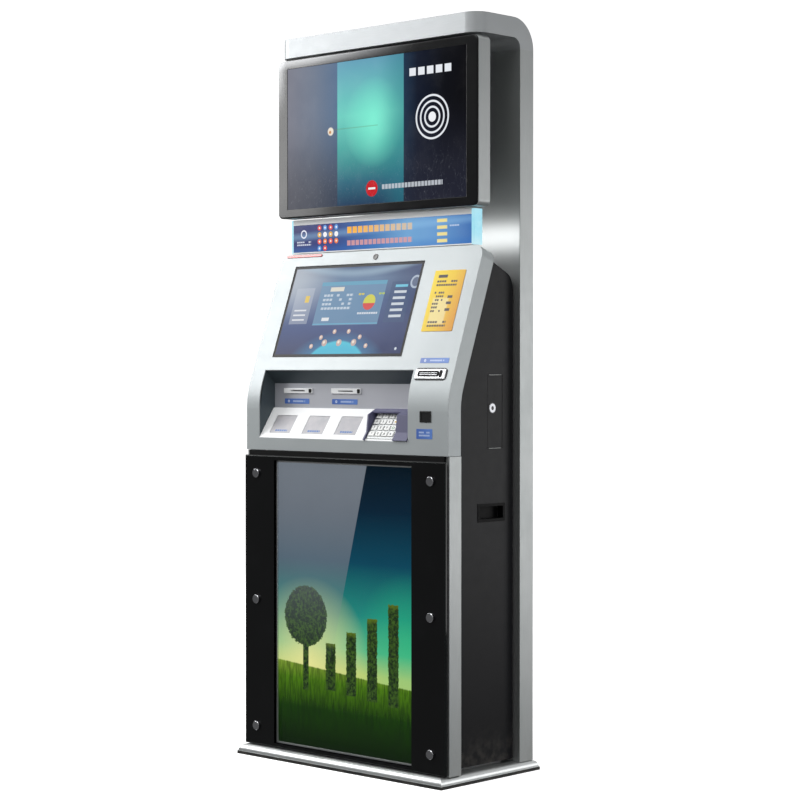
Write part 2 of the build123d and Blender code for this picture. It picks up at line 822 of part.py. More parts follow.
# ---------------------------------------------------------------- console
def make_fascia():
    """Console front: one bent sheet with a rim, rounded upper corners and its cut-outs."""
    body = bent_band((0, fascia_rim), console_base, slope_top, (-half_front, half_front))
    inner_x = (-half_front + fascia_sheet, half_front - fascia_sheet)
    hollow_depths = (fascia_sheet, fascia_rim + cut_over)
    body -= bent_band(hollow_depths, console_base - cut_over, slope_top - fascia_sheet, inner_x)
    body -= corner_waste()
    body += corner_rim()
    body += rim_flanges()
    skin = fascia_sheet + cut_over
    body -= box_on(slope_plane, (touch_x, touch_s), (touch_width, touch_height), -skin, cut_over)
    body -= recess_space()
    upright_y = (fascia_front - cut_over, fascia_front + fascia_sheet + fit_gap)
    body -= block((recess_left, recess_right), upright_y, (recess_low, arc_low))
    receipt_cut = (receipt_neck_x + 2 * receipt_cutout_gap, receipt_neck_s + 2 * receipt_cutout_gap)
    body -= box_on(slope_plane, (receipt_x, receipt_s), receipt_cut, -skin, cut_over)
    body -= rod_on(slope_plane, (camera_x, camera_s), camera_diameter + 2 * fit_gap, -skin, cut_over)
    half_x = finger_width / 2 + fit_gap
    half_z = finger_height / 2 + fit_gap
    cut_x = (finger_x - half_x, finger_x + half_x)
    cut_z = (finger_z - half_z, finger_z + half_z)
    return body - block(cut_x, (fascia_front - cut_over, fascia_front + skin), cut_z)


def rim_flanges():
    """Narrow flanges that close the rim towards the side panels and the hood."""
    depths = (fascia_rim - fascia_sheet, fascia_rim)
    inner = half_cabinet + fit_gap
    outer = half_front - fascia_sheet
    side_top = slope_top - fascia_corner
    right = bent_band(depths, console_base, side_top, (inner, outer))
    left = bent_band(depths, console_base, side_top, (-outer, -inner))
    width = 2 * (half_front - fascia_corner)
    drop = hood_drop - fascia_sheet
    middle = slope_top - fascia_sheet - drop / 2
    top = box_on(slope_plane, (0, middle), (width, drop), -depths[1], -depths[0])
    return left + right + top


def corner_waste():
    """Material outside the rounded upper corners of the fascia."""
    waste = []
    reach = fascia_corner + 2 * cut_over
    deep = fascia_rim + cut_over
    for side in (-1, 1):
        middle = (side * (half_front - fascia_corner + reach / 2), slope_top - fascia_corner + reach / 2)
        square = box_on(slope_plane, middle, (reach, reach), -deep, cut_over)
        centre = (side * (half_front - fascia_corner), slope_top - fascia_corner)
        waste.append(square - rod_on(slope_plane, centre, 2 * fascia_corner, -deep - cut_over, 2 * cut_over))
    return joined(waste)


def corner_rim():
    """Rim that follows the rounded upper corners."""
    rim = []
    inner = 2 * (fascia_corner - fascia_sheet)
    deep = fascia_rim + cut_over
    for side in (-1, 1):
        x = side * (half_front - fascia_corner)
        s = slope_top - fascia_corner
        ring = rod_on(slope_plane, (x, s), 2 * fascia_corner, -fascia_rim, 0)
        ring -= rod_on(slope_plane, (x, s), inner, -deep, -fascia_sheet)
        middle = (x + side * fascia_corner / 2, s + fascia_corner / 2)
        rim.append(ring & box_on(slope_plane, middle, (fascia_corner, fascia_corner), -deep, cut_over))
    return joined(rim)


def recess_space():
    """Free space of the recess, from in front of the fascia to its back wall."""
    reach = fascia_front - recess_reach
    points = [
        (reach, recess_low),
        (fascia_front, recess_low),
        (shelf_rear.Y, shelf_rear.Z),
        (recess_back, ledge_height),
        (recess_back, ceiling_low),
        (recess_top.Y, recess_top.Z),
        (reach, recess_top.Z),
    ]
    return prism(points, (recess_left, recess_right))


def make_recess_liner():
    """Dark ceiling and end walls of the recess, one folded sheet."""
    outer_x = (recess_left - liner_sheet, recess_right + liner_sheet)
    skin = fascia_sheet + fit_gap
    top_y, top_z = on_slope(recess_top_s, skin)
    above = [
        (top_y, top_z),
        (recess_back, ceiling_low),
        (recess_back, ceiling_low + ceiling_sheet),
        on_slope(recess_top_s + ceiling_sheet, skin),
    ]
    liner = prism(above, outer_x)
    wall = [
        (fascia_front + skin, recess_low + shelf_nose),
        (shelf_rear.Y, shelf_rear.Z),
        (recess_back, ledge_height),
        (recess_back, ceiling_low + liner_sheet),
        on_slope(recess_top_s + liner_sheet, skin),
        on_slope(bend_reach, skin),
        (fascia_front + skin, arc_low),
    ]
    liner += prism(wall, (outer_x[0], recess_left))
    liner += prism(wall, (recess_right, outer_x[1]))
    return liner


def make_card_panel():
    """Rear wall of the recess with an opening for each card reader."""
    panel_y = (recess_back, recess_back + liner_sheet)
    panel = block((recess_left, recess_right), panel_y, (ledge_height, ceiling_low + ceiling_sheet))
    half_x = card_slot_width / 2 + card_neck_margin + card_cutout_gap
    half_z = card_neck_height / 2 + card_cutout_gap / 2
    hole_y = (recess_back - cut_over, recess_back + liner_sheet + cut_over)
    for x in card_slot_x:
        panel -= block((x - half_x, x + half_x), hole_y, (card_slot_z - half_z, card_slot_z + half_z))
    return panel


def make_keypad_shelf():
    """Sloping shelf with a ledge behind it, pockets for the tiles and a cut-out for the keypad."""
    under = shelf_out * -shelf_sheet
    low = shelf_front + under
    high = shelf_rear + under
    points = [
        (shelf_front.Y, shelf_front.Z),
        (shelf_rear.Y, shelf_rear.Z),
        (recess_back - fit_gap, ledge_height),
        (recess_back - fit_gap, ledge_height - shelf_sheet),
        (high.Y, high.Z),
        (low.Y + shelf_nose, low.Z - shelf_nose),
        (shelf_front.Y, shelf_front.Z - shelf_sheet),
    ]
    shelf = prism(points, (recess_left + fit_gap, recess_right - fit_gap))
    fascia_y = (fascia_front - cut_over, fascia_front + fascia_sheet + fit_gap)
    shelf -= block((-half_front, half_front), fascia_y, (recess_low - 2 * shelf_sheet, recess_low))
    for x in tile_x:
        shelf -= box_on(shelf_plane, (x, tile_s), (tile_width, tile_length), -tile_depth, cut_over)
    pad_hole = (pad_width + 2 * fit_gap, pad_length + 2 * fit_gap)
    return shelf - box_on(shelf_plane, (pad_x, pad_s), pad_hole, -pad_depth, cut_over)


def key_places():
    """Key centres on the shelf plane, left to right and top to bottom."""
    places = []
    for row in range(key_rows):
        for column in range(key_columns):
            x = pad_x + (column - (key_columns - 1) / 2) * key_pitch_x
            s = pad_s - (row - (key_rows - 1) / 2) * key_pitch_s
            places.append((x, s))
    return places


def make_pinpad_housing():
    """Steel keypad body with a well for each key."""
    body = box_on(shelf_plane, (pad_x, pad_s), (pad_width, pad_length), -pad_depth, pad_proud)
    well = (key_width + 2 * key_gap, key_length + 2 * key_gap)
    well_floor = pad_proud - key_height - key_travel - fit_gap
    for place in key_places():
        body -= box_on(shelf_plane, place, well, well_floor, pad_proud + cut_over)
    return body


def make_key(place):
    top = pad_proud + key_proud
    cap = box_on(shelf_plane, place, (key_width, key_length), pad_proud - key_height, top)
    rim = cap.faces().sort_by(Axis((0, 0, 0), tuple(shelf_out)))[-1].edges()
    return fillet(rim, key_round)


def make_pinpad_shield():
    """Privacy shield: a short roof, a left wing and a right cheek that fills the recess end."""
    half = pad_width / 2 + shield_wall + shield_side_gap
    base_low = shelf_front + shelf_out * shield_lift
    base_high = shelf_rear + shelf_out * shield_lift
    fall = (shield_top - shield_brow_height) / (shield_back - shield_brow)
    outline = [
        (base_low.Y, base_low.Z),
        (base_high.Y, base_high.Z),
        (shield_back, shield_top),
        (shield_brow, shield_brow_height),
        (shield_shin, shield_shin_height),
        (shield_toe, shield_toe_height),
    ]
    inner_low = base_low - shelf_out * shield_wall
    inner_high = base_high - shelf_up * shield_wall
    under = inner_high - shelf_out * shield_wall
    roof_under = shield_top - shield_roof
    beyond = shield_toe - shield_wall
    above = shield_top + shield_wall
    hollow = [
        (inner_low.Y, inner_low.Z),
        (under.Y, under.Z),
        (inner_high.Y, inner_high.Z),
        (shield_back, roof_under),
        (shield_roof_front, roof_under - fall * (shield_back - shield_roof_front)),
        (shield_roof_front, above),
        (beyond, above),
        (beyond, recess_low - shield_wall),
    ]
    right_end = recess_right - 2 * shield_side_gap
    shield = prism(outline, (pad_x - half, right_end))
    return shield - prism(hollow, (pad_x - half + shield_wall, pad_x + half - shield_wall))


def make_card_reader(x):
    """Card reader: its bezel in the recess, a neck through the panel and the case behind."""
    half_bezel = card_bezel_width / 2
    half_neck = card_slot_width / 2 + card_neck_margin
    half_slot = card_slot_width / 2
    bezel_front = recess_back - card_bezel_proud
    case_front = recess_back + liner_sheet
    bezel = block((x - half_bezel, x + half_bezel), (bezel_front, recess_back), card_level(card_bezel_height))
    bezel = fillet(front_edges(bezel, bezel_front), card_bezel_round)
    neck = block((x - half_neck, x + half_neck), (recess_back, case_front), card_level(card_neck_height))
    case_y = (case_front, case_front + reader_depth)
    case = block((x - reader_width / 2, x + reader_width / 2), case_y, card_level(reader_height))
    throat_y = (bezel_front - cut_over, recess_back + reader_depth * card_throat_share)
    throat = block((x - half_slot, x + half_slot), throat_y, card_level(card_slot_height))
    return bezel + neck + case - throat


def card_level(height):
    """The (low, high) pair of a height centred on the card slots."""
    return card_slot_z - height / 2, card_slot_z + height / 2


def make_touch_screen():
    """Touch screen: the glass in the fascia's opening and the module behind it."""
    edge = 2 * fit_gap
    centre = (touch_x, touch_s)
    glass_size = (touch_width - edge, touch_height - edge)
    module_size = (touch_width + 2 * touch_module_rim, touch_height + 2 * touch_module_rim)
    glass = box_on(slope_plane, centre, glass_size, -touch_glass_thickness, -touch_glass_step)
    return glass + box_on(slope_plane, centre, module_size, -touch_module_depth, -touch_glass_thickness)


def make_camera():
    centre = (camera_x, camera_s)
    barrel = rod_on(slope_plane, centre, camera_diameter, -camera_depth, camera_proud)
    rim = barrel.edges().sort_by(Axis((0, 0, 0), tuple(inward * -1)))[-1]
    barrel = fillet(rim, camera_round)
    return barrel - rod_on(slope_plane, centre, camera_well, -camera_well_depth, camera_proud + cut_over)


def make_receipt_bezel():
    """Receipt mouth: a raised bezel, its neck through the fascia and the paper slot."""
    centre = (receipt_x, receipt_s)
    front = Axis((0, 0, 0), tuple(inward * -1))
    bezel = box_on(slope_plane, centre, (receipt_width, receipt_height), 0, receipt_proud)
    bezel = fillet(bezel.faces().sort_by(front)[-1].edges(), receipt_round)
    neck = box_on(slope_plane, centre, (receipt_neck_x, receipt_neck_s), -receipt_neck_depth, 0)
    slot_size = (receipt_slot_width, receipt_slot_height)
    deep = receipt_neck_depth + cut_over
    return bezel + neck - box_on(slope_plane, centre, slot_size, -deep, receipt_proud + cut_over)


def roll_place():
    """Centre (y, z) of the paper roll."""
    depth = printer_gap + printer_depth - roll_diameter / 2 - roll_inset
    return on_slope(receipt_s + roll_rise, depth)


def make_receipt_printer():
    """Printer case, open at the rear, with the fixed spindle of the paper roll."""
    high = -printer_gap
    low = high - printer_depth
    centre = (receipt_x, receipt_s + printer_rise)
    inner = (printer_width - 2 * printer_wall, printer_height - 2 * printer_wall)
    slot_size = (paper_slot_width, receipt_slot_height)
    slot_low = high - printer_wall - cut_over
    case = box_on(slope_plane, centre, (printer_width, printer_height), low, high)
    case -= box_on(slope_plane, centre, inner, low - cut_over, high - printer_wall)
    case -= box_on(slope_plane, (receipt_x, receipt_s), slot_size, slot_low, high + cut_over)
    y, z = roll_place()
    spindle = Cylinder(roll_spindle / 2, printer_width - printer_wall)
    return case + Pos(receipt_x, y, z) * Rot(0, 90, 0) * spindle


def make_paper_roll():
    y, z = roll_place()
    roll = Cylinder(roll_diameter / 2, roll_width) - Cylinder(roll_core / 2, roll_width * 2)
    return Pos(receipt_x, y, z) * Rot(0, 90, 0) * roll


def make_fingerprint_reader():
    """Reader block with a shallow sensor window."""
    front = fascia_front - finger_proud
    half_x = finger_width / 2
    half_z = finger_height / 2
    body = block((finger_x - half_x, finger_x + half_x), (front, fascia_front + finger_depth),
                 (finger_z - half_z, finger_z + half_z))
    body = fillet(front_edges(body, front), finger_round)
    window_x = (finger_x - half_x * finger_window_share, finger_x + half_x * finger_window_share)
    window_z = (finger_z - half_z * finger_window_share, finger_z + half_z * finger_window_share)
    return body - block(window_x, (front - cut_over, front + finger_window_depth), window_z)


def make_hood():
    """Sheet that closes the console's top and turns down in front of the column."""
    rear = column_front - panel_gap
    half = half_cabinet - panel_return - hood_side_gap
    ring = panel_face(-half, rear) - panel_face(-half, rear, sheet)
    top_y, top_z = on_slope(slope_top - hood_drop, hood_start_depth)
    low = top_z - tan(radians(hood_angle)) * (rear - top_y) - hood_skirt
    body = extrude(ring, amount=2 * half, dir=(1, 0, 0))
    keep_y = (top_y - sheet - cut_over, rear + cut_over)
    return body & block((-half - cut_over, half + cut_over), keep_y, (low, top_z + cut_over))


# ---------------------------------------------------------------- banner
def make_banner_housing():
    """Open-fronted light box on two feet that stand on the fascia's rim."""
    half = banner_width / 2 - banner_end
    back = banner_front + banner_depth
    inner_y = (banner_front - cut_over, back - banner_wall)
    inner_z = (banner_low + banner_wall, banner_high - banner_top_wall)
    box = block((-half, half), (banner_front, back), (banner_low, banner_high))
    box -= block((-half - cut_over, half + cut_over), inner_y, inner_z)
    foot_front = banner_front + banner_foot_front
    foot_back = foot_front + banner_foot_depth
    foot_top = banner_low + weld_depth
    foot = [
        (foot_front, foot_top),
        (foot_front, rim_height(foot_front) + fit_gap),
        (foot_back, rim_height(foot_back) + fit_gap),
        (foot_back, foot_top),
    ]
    for side in (-1, 1):
        x = side * half * banner_foot_place
        box += prism(foot, (x - banner_foot / 2, x + banner_foot / 2))
    return box


def rim_height(y):
    """Height of the fascia's top rim at a given y."""
    top_y, top_z = on_slope(slope_top, 0)
    return top_z - (y - top_y) * tan(lean)


def make_banner_face():
    half = banner_width / 2 - banner_end - fit_gap
    front = banner_front + banner_face_step
    low = banner_low + banner_wall + fit_gap
    high = banner_high - banner_top_wall - fit_gap
    return block((-half, half), (front, front + banner_face_thickness), (low, high))


def make_banner_end(side):
    """Lit end block with rounded outer edges."""
    outer = side * banner_width / 2
    end_y = (banner_front, banner_front + banner_depth)
    end = block(span(outer - side * banner_end, outer), end_y, (banner_low, banner_high))
    outer_edges = [e for e in end.edges().filter_by(Axis.Z) if abs(e.center().X - outer) < same_place]
    return fillet(outer_edges, banner_end_round)


# ---------------------------------------------------------------- upper display
def display_slab(y, half, inset):
    """Rounded rectangle as wide as the display, between two y values."""
    low = display_low + inset
    high = display_high - inset
    slab = block((-half + inset, half - inset), y, (low, high))
    return fillet(slab.edges().filter_by(Axis.Y), display_corner - inset)


def make_display_casing():
    """Open-fronted rear casing of the display."""
    front = display_front + display_bezel_depth
    casing = display_slab((front, display_back), half_body, 0)
    casing = fillet(casing.faces().sort_by(Axis.Y)[-1].edges(), display_casing_round)
    return casing - display_slab((front - cut_over, display_back - display_wall), half_body, display_wall)


def screen_places():
    """Low and high z of the picture area."""
    middle = (display_low + display_high) / 2
    return middle - screen_height / 2, middle + screen_height / 2


def make_display_bezel():
    level = screen_places()
    bezel = display_slab((display_front, display_front + display_bezel_depth), half_body, 0)
    bezel = fillet(bezel.faces().sort_by(Axis.Y)[0].edges(), display_bezel_round)
    window_y = (display_front - cut_over, display_back)
    return bezel - block((-screen_width / 2, screen_width / 2), window_y, level)


def make_display_screen():
    """Display panel: the glass in the bezel's opening and the module behind it."""
    low, high = screen_places()
    glass_half = screen_width / 2 - fit_gap
    module_half = screen_width / 2 + screen_module_rim
    back = display_front + display_bezel_depth
    glass_z = (low + fit_gap, high - fit_gap)
    glass = block((-glass_half, glass_half), (display_front + screen_step, back), glass_z)
    module_z = (low - screen_module_rim, high + screen_module_rim)
    return glass + block((-module_half, module_half), (back, back + screen_module_depth), module_z)


def make_display_bracket():
    """Wall plate on the column, a plate on the display and two webs between them."""
    middle = (display_low + display_high) / 2
    half = bracket_width / 2
    plate_z = (middle - bracket_height / 2, middle + bracket_height / 2)
    pieces = [
        block((-half, half), (column_front - bracket_plate, column_front), plate_z),
        block((-half, half), (display_back, display_back + bracket_plate), plate_z),
    ]
    web_y = (display_back + weld_depth, column_front - weld_depth)
    for side in (-1, 1):
        x = side * (half - bracket_arm / 2)
        web_x = (x - bracket_web / 2, x + bracket_web / 2)
        pieces.append(block(web_x, web_y, (middle - bracket_arm, middle + bracket_arm)))
    return joined(pieces)


# ---------------------------------------------------------------- computer
def fan_centre():
    """Centre (y, z) of the computer's fan."""
    return (computer_y[0] + computer_y[1]) / 2, frame_mid_rail + tube + computer_height / 2


def make_computer():
    """Sheet case with a round fan opening, and the spider that carries the fan's axle."""
    low = frame_mid_rail + tube
    inner_x = (computer_x[0] + computer_wall, computer_x[1] - computer_wall)
    inner_y = (computer_y[0] + computer_wall, computer_y[1] - computer_wall)
    inner_z = (low + computer_wall, low + computer_height - computer_wall)
    y, z = fan_centre()
    case = block(computer_x, computer_y, (low, low + computer_height)) - block(inner_x, inner_y, inner_z)
    opening = Cylinder(fan_diameter / 2 + fan_tip_gap, 2 * (computer_wall + cut_over))
    case -= Pos(computer_x[1], y, z) * Rot(0, 90, 0) * opening
    start = computer_x[1] - fan_depth - fan_recess
    spider_y = (y - fan_spider_width / 2, y + fan_spider_width / 2)
    spider = block((start - fan_spider, start), spider_y, inner_z)
    length = fan_depth + fan_axle_over + weld_depth
    axle = Pos(start - weld_depth + length / 2, y, z) * Rot(0, 90, 0) * Cylinder(fan_axle / 2, length)
    return case + spider + axle


def make_fan_rotor():
    """Hub with pitched blades, trimmed to the fan's diameter."""
    y, z = fan_centre()
    start = computer_x[1] - fan_depth - fan_recess + fan_end_gap
    length = (fan_diameter - fan_hub) / 2
    middle = Pos(0, 0, fan_depth / 2)
    blade = Rot(fan_blade_pitch, 0, 0) * Box(length + 2 * fan_root, fan_blade, fan_depth * fan_blade_share)
    blade = Pos(fan_hub / 2 + length / 2 - fan_root, 0, 0) * blade
    rotor = middle * Cylinder(fan_hub / 2, fan_depth)
    for turn in range(fan_blades):
        rotor += Rot(0, 0, turn * 360 / fan_blades) * middle * blade
    rotor &= middle * Cylinder(fan_diameter / 2, fan_depth)
    rotor -= Cylinder(fan_bore / 2, 2 * (fan_depth + cut_over))
    return Pos(start, y, z) * Rot(0, 90, 0) * rotor


save("plinth", make_plinth())
save("column_core", make_column_core())
save("column_face", make_column_face())
save("side_trims", make_side_trim(-1), make_side_trim(1))
save("rear_cover", make_rear_cover())
save("rear_cover_screws", *make_rear_screws())
save("cable_gland", make_cable_gland())
save("canopy_housing", make_canopy())
save("front_posts", make_post(-1), make_post(1))
save("front_glass", make_front_glass())
save("standoff_screws", *make_standoffs())
save("glass_carrier", make_glass_carrier())
save("poster_panel", make_poster_panel())
save("inner_frame", make_inner_frame())
save("side_panel_left", make_side_panel_left())
save("side_door", make_side_door())
save("door_hinges", *make_door_hinges())
save("pull_handle", make_pull_handle())
save("access_door", make_access_door())
save("lock_barrel", make_lock_barrel())
save("lock_plug", make_lock_plug())
save("console_fascia", make_fascia())
save("console_hood", make_hood())
save("recess_liner", make_recess_liner())
save("card_panel", make_card_panel())
save("keypad_shelf", make_keypad_shelf())
save("card_readers", *[make_card_reader(x) for x in card_slot_x])
save("pinpad_housing", make_pinpad_housing())
save("pinpad_shield", make_pinpad_shield())
for index, place in enumerate(key_places()):
    save(f"key_{index + 1:02d}", make_key(place))
save("touch_screen", make_touch_screen())
save("camera", make_camera())
save("receipt_bezel", make_receipt_bezel())
save("receipt_printer", make_receipt_printer())
save("paper_roll", make_paper_roll())
save("fingerprint_reader", make_fingerprint_reader())
save("banner_housing", make_banner_housing())
save("banner_face", make_banner_face())
save("banner_ends", make_banner_end(-1), make_banner_end(1))
save("display_casing", make_display_casing())
save("display_bezel", make_display_bezel())
save("display_screen", make_display_screen())
save("display_bracket", make_display_bracket())
save("computer_unit", make_computer())
save("fan_rotor", make_fan_rotor())
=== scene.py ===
import logging
import math
from dataclasses import dataclass
from enum import Enum
from typing import Callable, Optional, Sequence, Union

import bpy
from mathutils import Euler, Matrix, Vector


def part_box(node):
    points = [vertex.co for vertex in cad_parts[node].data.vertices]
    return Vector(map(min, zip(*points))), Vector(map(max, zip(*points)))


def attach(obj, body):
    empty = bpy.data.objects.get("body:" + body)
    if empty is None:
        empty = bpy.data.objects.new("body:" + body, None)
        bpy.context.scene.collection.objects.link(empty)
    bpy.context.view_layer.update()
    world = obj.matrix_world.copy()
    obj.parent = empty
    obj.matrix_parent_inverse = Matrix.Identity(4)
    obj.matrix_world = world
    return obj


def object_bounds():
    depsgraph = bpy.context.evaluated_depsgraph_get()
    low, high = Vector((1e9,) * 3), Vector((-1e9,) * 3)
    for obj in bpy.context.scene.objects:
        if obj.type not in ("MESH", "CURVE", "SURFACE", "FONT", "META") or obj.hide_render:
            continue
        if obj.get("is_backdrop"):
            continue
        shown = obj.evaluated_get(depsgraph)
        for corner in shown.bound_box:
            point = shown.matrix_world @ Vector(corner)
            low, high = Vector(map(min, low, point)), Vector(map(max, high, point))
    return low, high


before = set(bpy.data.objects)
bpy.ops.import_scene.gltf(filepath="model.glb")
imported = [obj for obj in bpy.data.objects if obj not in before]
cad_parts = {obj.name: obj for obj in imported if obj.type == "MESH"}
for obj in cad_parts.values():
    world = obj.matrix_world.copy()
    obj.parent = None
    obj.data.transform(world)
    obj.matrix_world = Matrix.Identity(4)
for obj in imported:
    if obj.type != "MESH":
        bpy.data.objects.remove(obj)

log = logging.getLogger("kiosk")
Colour = tuple[float, float, float]
Value = Union["Sock", float]
Tint = Union["Sock", Colour]
MM = 0.001
CABINET = "cabinet"
DUST_HEIGHT = 0.16
DUST_SHARE = 0.16


def tone(red: int, green: int, blue: int) -> Colour:
    """Turns a paint chart's 0 to 255 numbers into the linear colour a shader takes.

    Args:
        red: Red, 0 to 255.
        green: Green, 0 to 255.
        blue: Blue, 0 to 255.

    Returns:
        The linear colour.
    """
    def straight(part: int) -> float:
        """One channel, made linear."""
        share = part / 255
        return share / 12.92 if share <= 0.04045 else ((share + 0.055) / 1.055) ** 2.4

    return straight(red), straight(green), straight(blue)


# ------------------------------------------------------------------ shader board


class Sock:
    """A shader value that can be used in ordinary arithmetic."""

    def __init__(self, board: "Board", socket: bpy.types.NodeSocket) -> None:
        """Keeps the socket and the board it is on.

        Args:
            board: The board that holds the nodes.
            socket: The node output.
        """
        self.board = board
        self.socket = socket

    def math(self, operation: str, *values: Value, swap: bool = False) -> "Sock":
        """Adds a Math node.

        Args:
            operation: The Math node's operation.
            values: What goes in beside this value.
            swap: True if this value goes in second.

        Returns:
            The node's output.
        """
        terms = [*values, self] if swap else [self, *values]
        made = self.board.node("ShaderNodeMath", {"operation": operation}, dict(enumerate(terms)))
        return Sock(self.board, made.outputs[0])

    def __add__(self, other: Value) -> "Sock":
        """Adds a value."""
        return self.math("ADD", other)

    __radd__ = __add__

    def __sub__(self, other: Value) -> "Sock":
        """Takes a value away."""
        return self.math("SUBTRACT", other)

    def __rsub__(self, other: Value) -> "Sock":
        """Is taken away from a value."""
        return self.math("SUBTRACT", other, swap=True)

    def __mul__(self, other: Value) -> "Sock":
        """Multiplies by a value."""
        return self.math("MULTIPLY", other)

    __rmul__ = __mul__

    def __truediv__(self, other: Value) -> "Sock":
        """Divides by a value."""
        return self.math("DIVIDE", other)

    def __rtruediv__(self, other: Value) -> "Sock":
        """Divides a value."""
        return self.math("DIVIDE", other, swap=True)

    def __pow__(self, other: Value) -> "Sock":
        """Raises to a power."""
        return self.math("POWER", other)

    def __abs__(self) -> "Sock":
        """Its size without its sign."""
        return self.math("ABSOLUTE")

    def least(self, other: Value) -> "Sock":
        """The smaller of the two."""
        return self.math("MINIMUM", other)

    def most(self, other: Value) -> "Sock":
        """The larger of the two."""
        return self.math("MAXIMUM", other)

    def floor(self) -> "Sock":
        """Rounded down."""
        return self.math("FLOOR")

    def fract(self) -> "Sock":
        """What is left after the whole number."""
        return self.math("FRACT")

    def above(self, other: Value) -> "Sock":
        """One where it is greater, and nought elsewhere."""
        return self.math("GREATER_THAN", other)

    def below(self, other: Value) -> "Sock":
        """One where it is less, and nought elsewhere."""
        return self.math("LESS_THAN", other)

    def held(self) -> "Sock":
        """Kept between nought and one."""
        return self.most(0.0).least(1.0)

    def rise(self, start: float, end: float) -> "Sock":
        """Goes smoothly from nought at start to one at end.

        Args:
            start: Where it is still nought.
            end: Where it has reached one.

        Returns:
            The eased value.
        """
        step = ((self - start) / (end - start)).held()
        return step * step * (3.0 - 2.0 * step)


class Board:
    """One material's node board."""

    def __init__(self, name: str) -> None:
        """Makes an empty material with a Principled shader.

        Args:
            name: The material's name.
        """
        self.material = bpy.data.materials.new(name)
        self.material.use_nodes = True
        self.tree = self.material.node_tree
        self.tree.nodes.clear()
        self.shader = self.node("ShaderNodeBsdfPrincipled", {}, {})
        self.output = self.node("ShaderNodeOutputMaterial", {}, {"Surface": self.shader.outputs[0]})

    def node(self, kind: str, settings: dict, inputs: dict) -> bpy.types.Node:
        """Adds a node, sets it up and wires it.

        Args:
            kind: The node's type.
            settings: Its settings, with a ramp's stops under "stops".
            inputs: The values or links of its sockets, by name or number.

        Returns:
            The node.
        """
        made = self.tree.nodes.new(kind)
        for key, value in settings.items():
            if key == "stops":
                self._stops(made, value)
            else:
                setattr(made, key, value)
        for key, value in inputs.items():
            self.feed(made.inputs[key], value)
        return made

    @staticmethod
    def _stops(ramp: bpy.types.Node, stops: Sequence[tuple[float, Colour]]) -> None:
        """Sets a ramp's stops.

        Args:
            ramp: The ramp node.
            stops: Each stop's place and colour.
        """
        band = ramp.color_ramp
        while len(band.elements) < len(stops):
            band.elements.new(1.0)
        for element, (place, colour) in zip(band.elements, stops):
            element.position = place
            element.color = (*colour, 1.0)

    def feed(self, socket: bpy.types.NodeSocket, value: object) -> None:
        """Links a socket or sets its value.

        Args:
            socket: The input.
            value: A Sock, a node output, a number, a colour or a vector.
        """
        if isinstance(value, Sock):
            self.tree.links.new(value.socket, socket)
        elif isinstance(value, bpy.types.NodeSocket):
            self.tree.links.new(value, socket)
        elif isinstance(value, tuple) and socket.type == "RGBA":
            socket.default_value = (*value, 1.0)
        else:
            socket.default_value = value

    def surface(self, values: dict[str, object]) -> bpy.types.Material:
        """Sets the shader's sockets by name and gives back the material."""
        for key, value in values.items():
            self.feed(self.shader.inputs[key], value)
        return self.material

    def spot(self) -> Sock:
        """The place on the object, in metres."""
        return Sock(self, self.node("ShaderNodeTexCoord", {}, {}).outputs["Object"])

    def vector(self, operation: str, first: object, second: object, out: str = "Vector") -> Sock:
        """Adds a Vector Math node.

        Args:
            operation: Its operation.
            first: The first vector.
            second: The second vector.
            out: The output to take.

        Returns:
            The output.
        """
        made = self.node("ShaderNodeVectorMath", {"operation": operation}, {0: first, 1: second})
        return Sock(self, made.outputs[out])

    def along(self, spot: Sock, origin: Vector, direction: Vector) -> Sock:
        """How far a place is from an origin along a direction.

        Args:
            spot: The place.
            origin: Where the measure starts.
            direction: Its direction.

        Returns:
            The distance in metres.
        """
        moved = self.vector("SUBTRACT", spot, tuple(origin))
        return self.vector("DOT_PRODUCT", moved, tuple(direction), "Value")

    def noise(self, spot: Sock, scale: float, detail: float = 3.0, rough: float = 0.55) -> Sock:
        """Cloudy noise, 0 to 1.

        Args:
            spot: The place.
            scale: Patches per metre.
            detail: How many finer layers it has.
            rough: How strong the finer layers are.

        Returns:
            The noise.
        """
        inputs = {"Vector": spot, "Scale": scale, "Detail": detail, "Roughness": rough}
        return Sock(self, self.node("ShaderNodeTexNoise", {}, inputs).outputs[0])

    def speck(self, spot: Sock) -> Sock:
        """A random value for each place it is given."""
        return Sock(self, self.node("ShaderNodeTexWhiteNoise", {"noise_dimensions": "3D"},
                                    {"Vector": spot}).outputs[0])

    def join(self, x: Value, y: Value, z: Value = 0.0) -> Sock:
        """Joins three values into a vector."""
        return Sock(self, self.node("ShaderNodeCombineXYZ", {}, {0: x, 1: y, 2: z}).outputs[0])

    def blend(self, share: Value, low: Tint, high: Tint) -> Sock:
        """Mixes two colours.

        Args:
            share: How much of the second shows.
            low: The first colour.
            high: The second colour.

        Returns:
            The mixed colour.
        """
        made = self.node("ShaderNodeMix", {"data_type": "RGBA"}, {0: share, 6: low, 7: high})
        return Sock(self, made.outputs[2])

    def ramp(self, share: Sock, stops: Sequence[tuple[float, Colour]]) -> Sock:
        """A colour ramp along a value."""
        return Sock(self, self.node("ShaderNodeValToRGB", {"stops": stops}, {0: share}).outputs[0])

    def rounded(self, radius: float) -> tuple[Sock, Sock]:
        """The normal of softened edges, and how near an edge is.

        Args:
            radius: How wide the softened edge is.

        Returns:
            The normal, and a value that is nought on flats and one at edges.
        """
        soft = Sock(self, self.node("ShaderNodeBevel", {"samples": 4}, {"Radius": radius}).outputs[0])
        true = self.node("ShaderNodeNewGeometry", {}, {}).outputs["Normal"]
        edge = 1.0 - self.vector("DOT_PRODUCT", soft, true, "Value")
        return soft, (edge * 6.0).held()


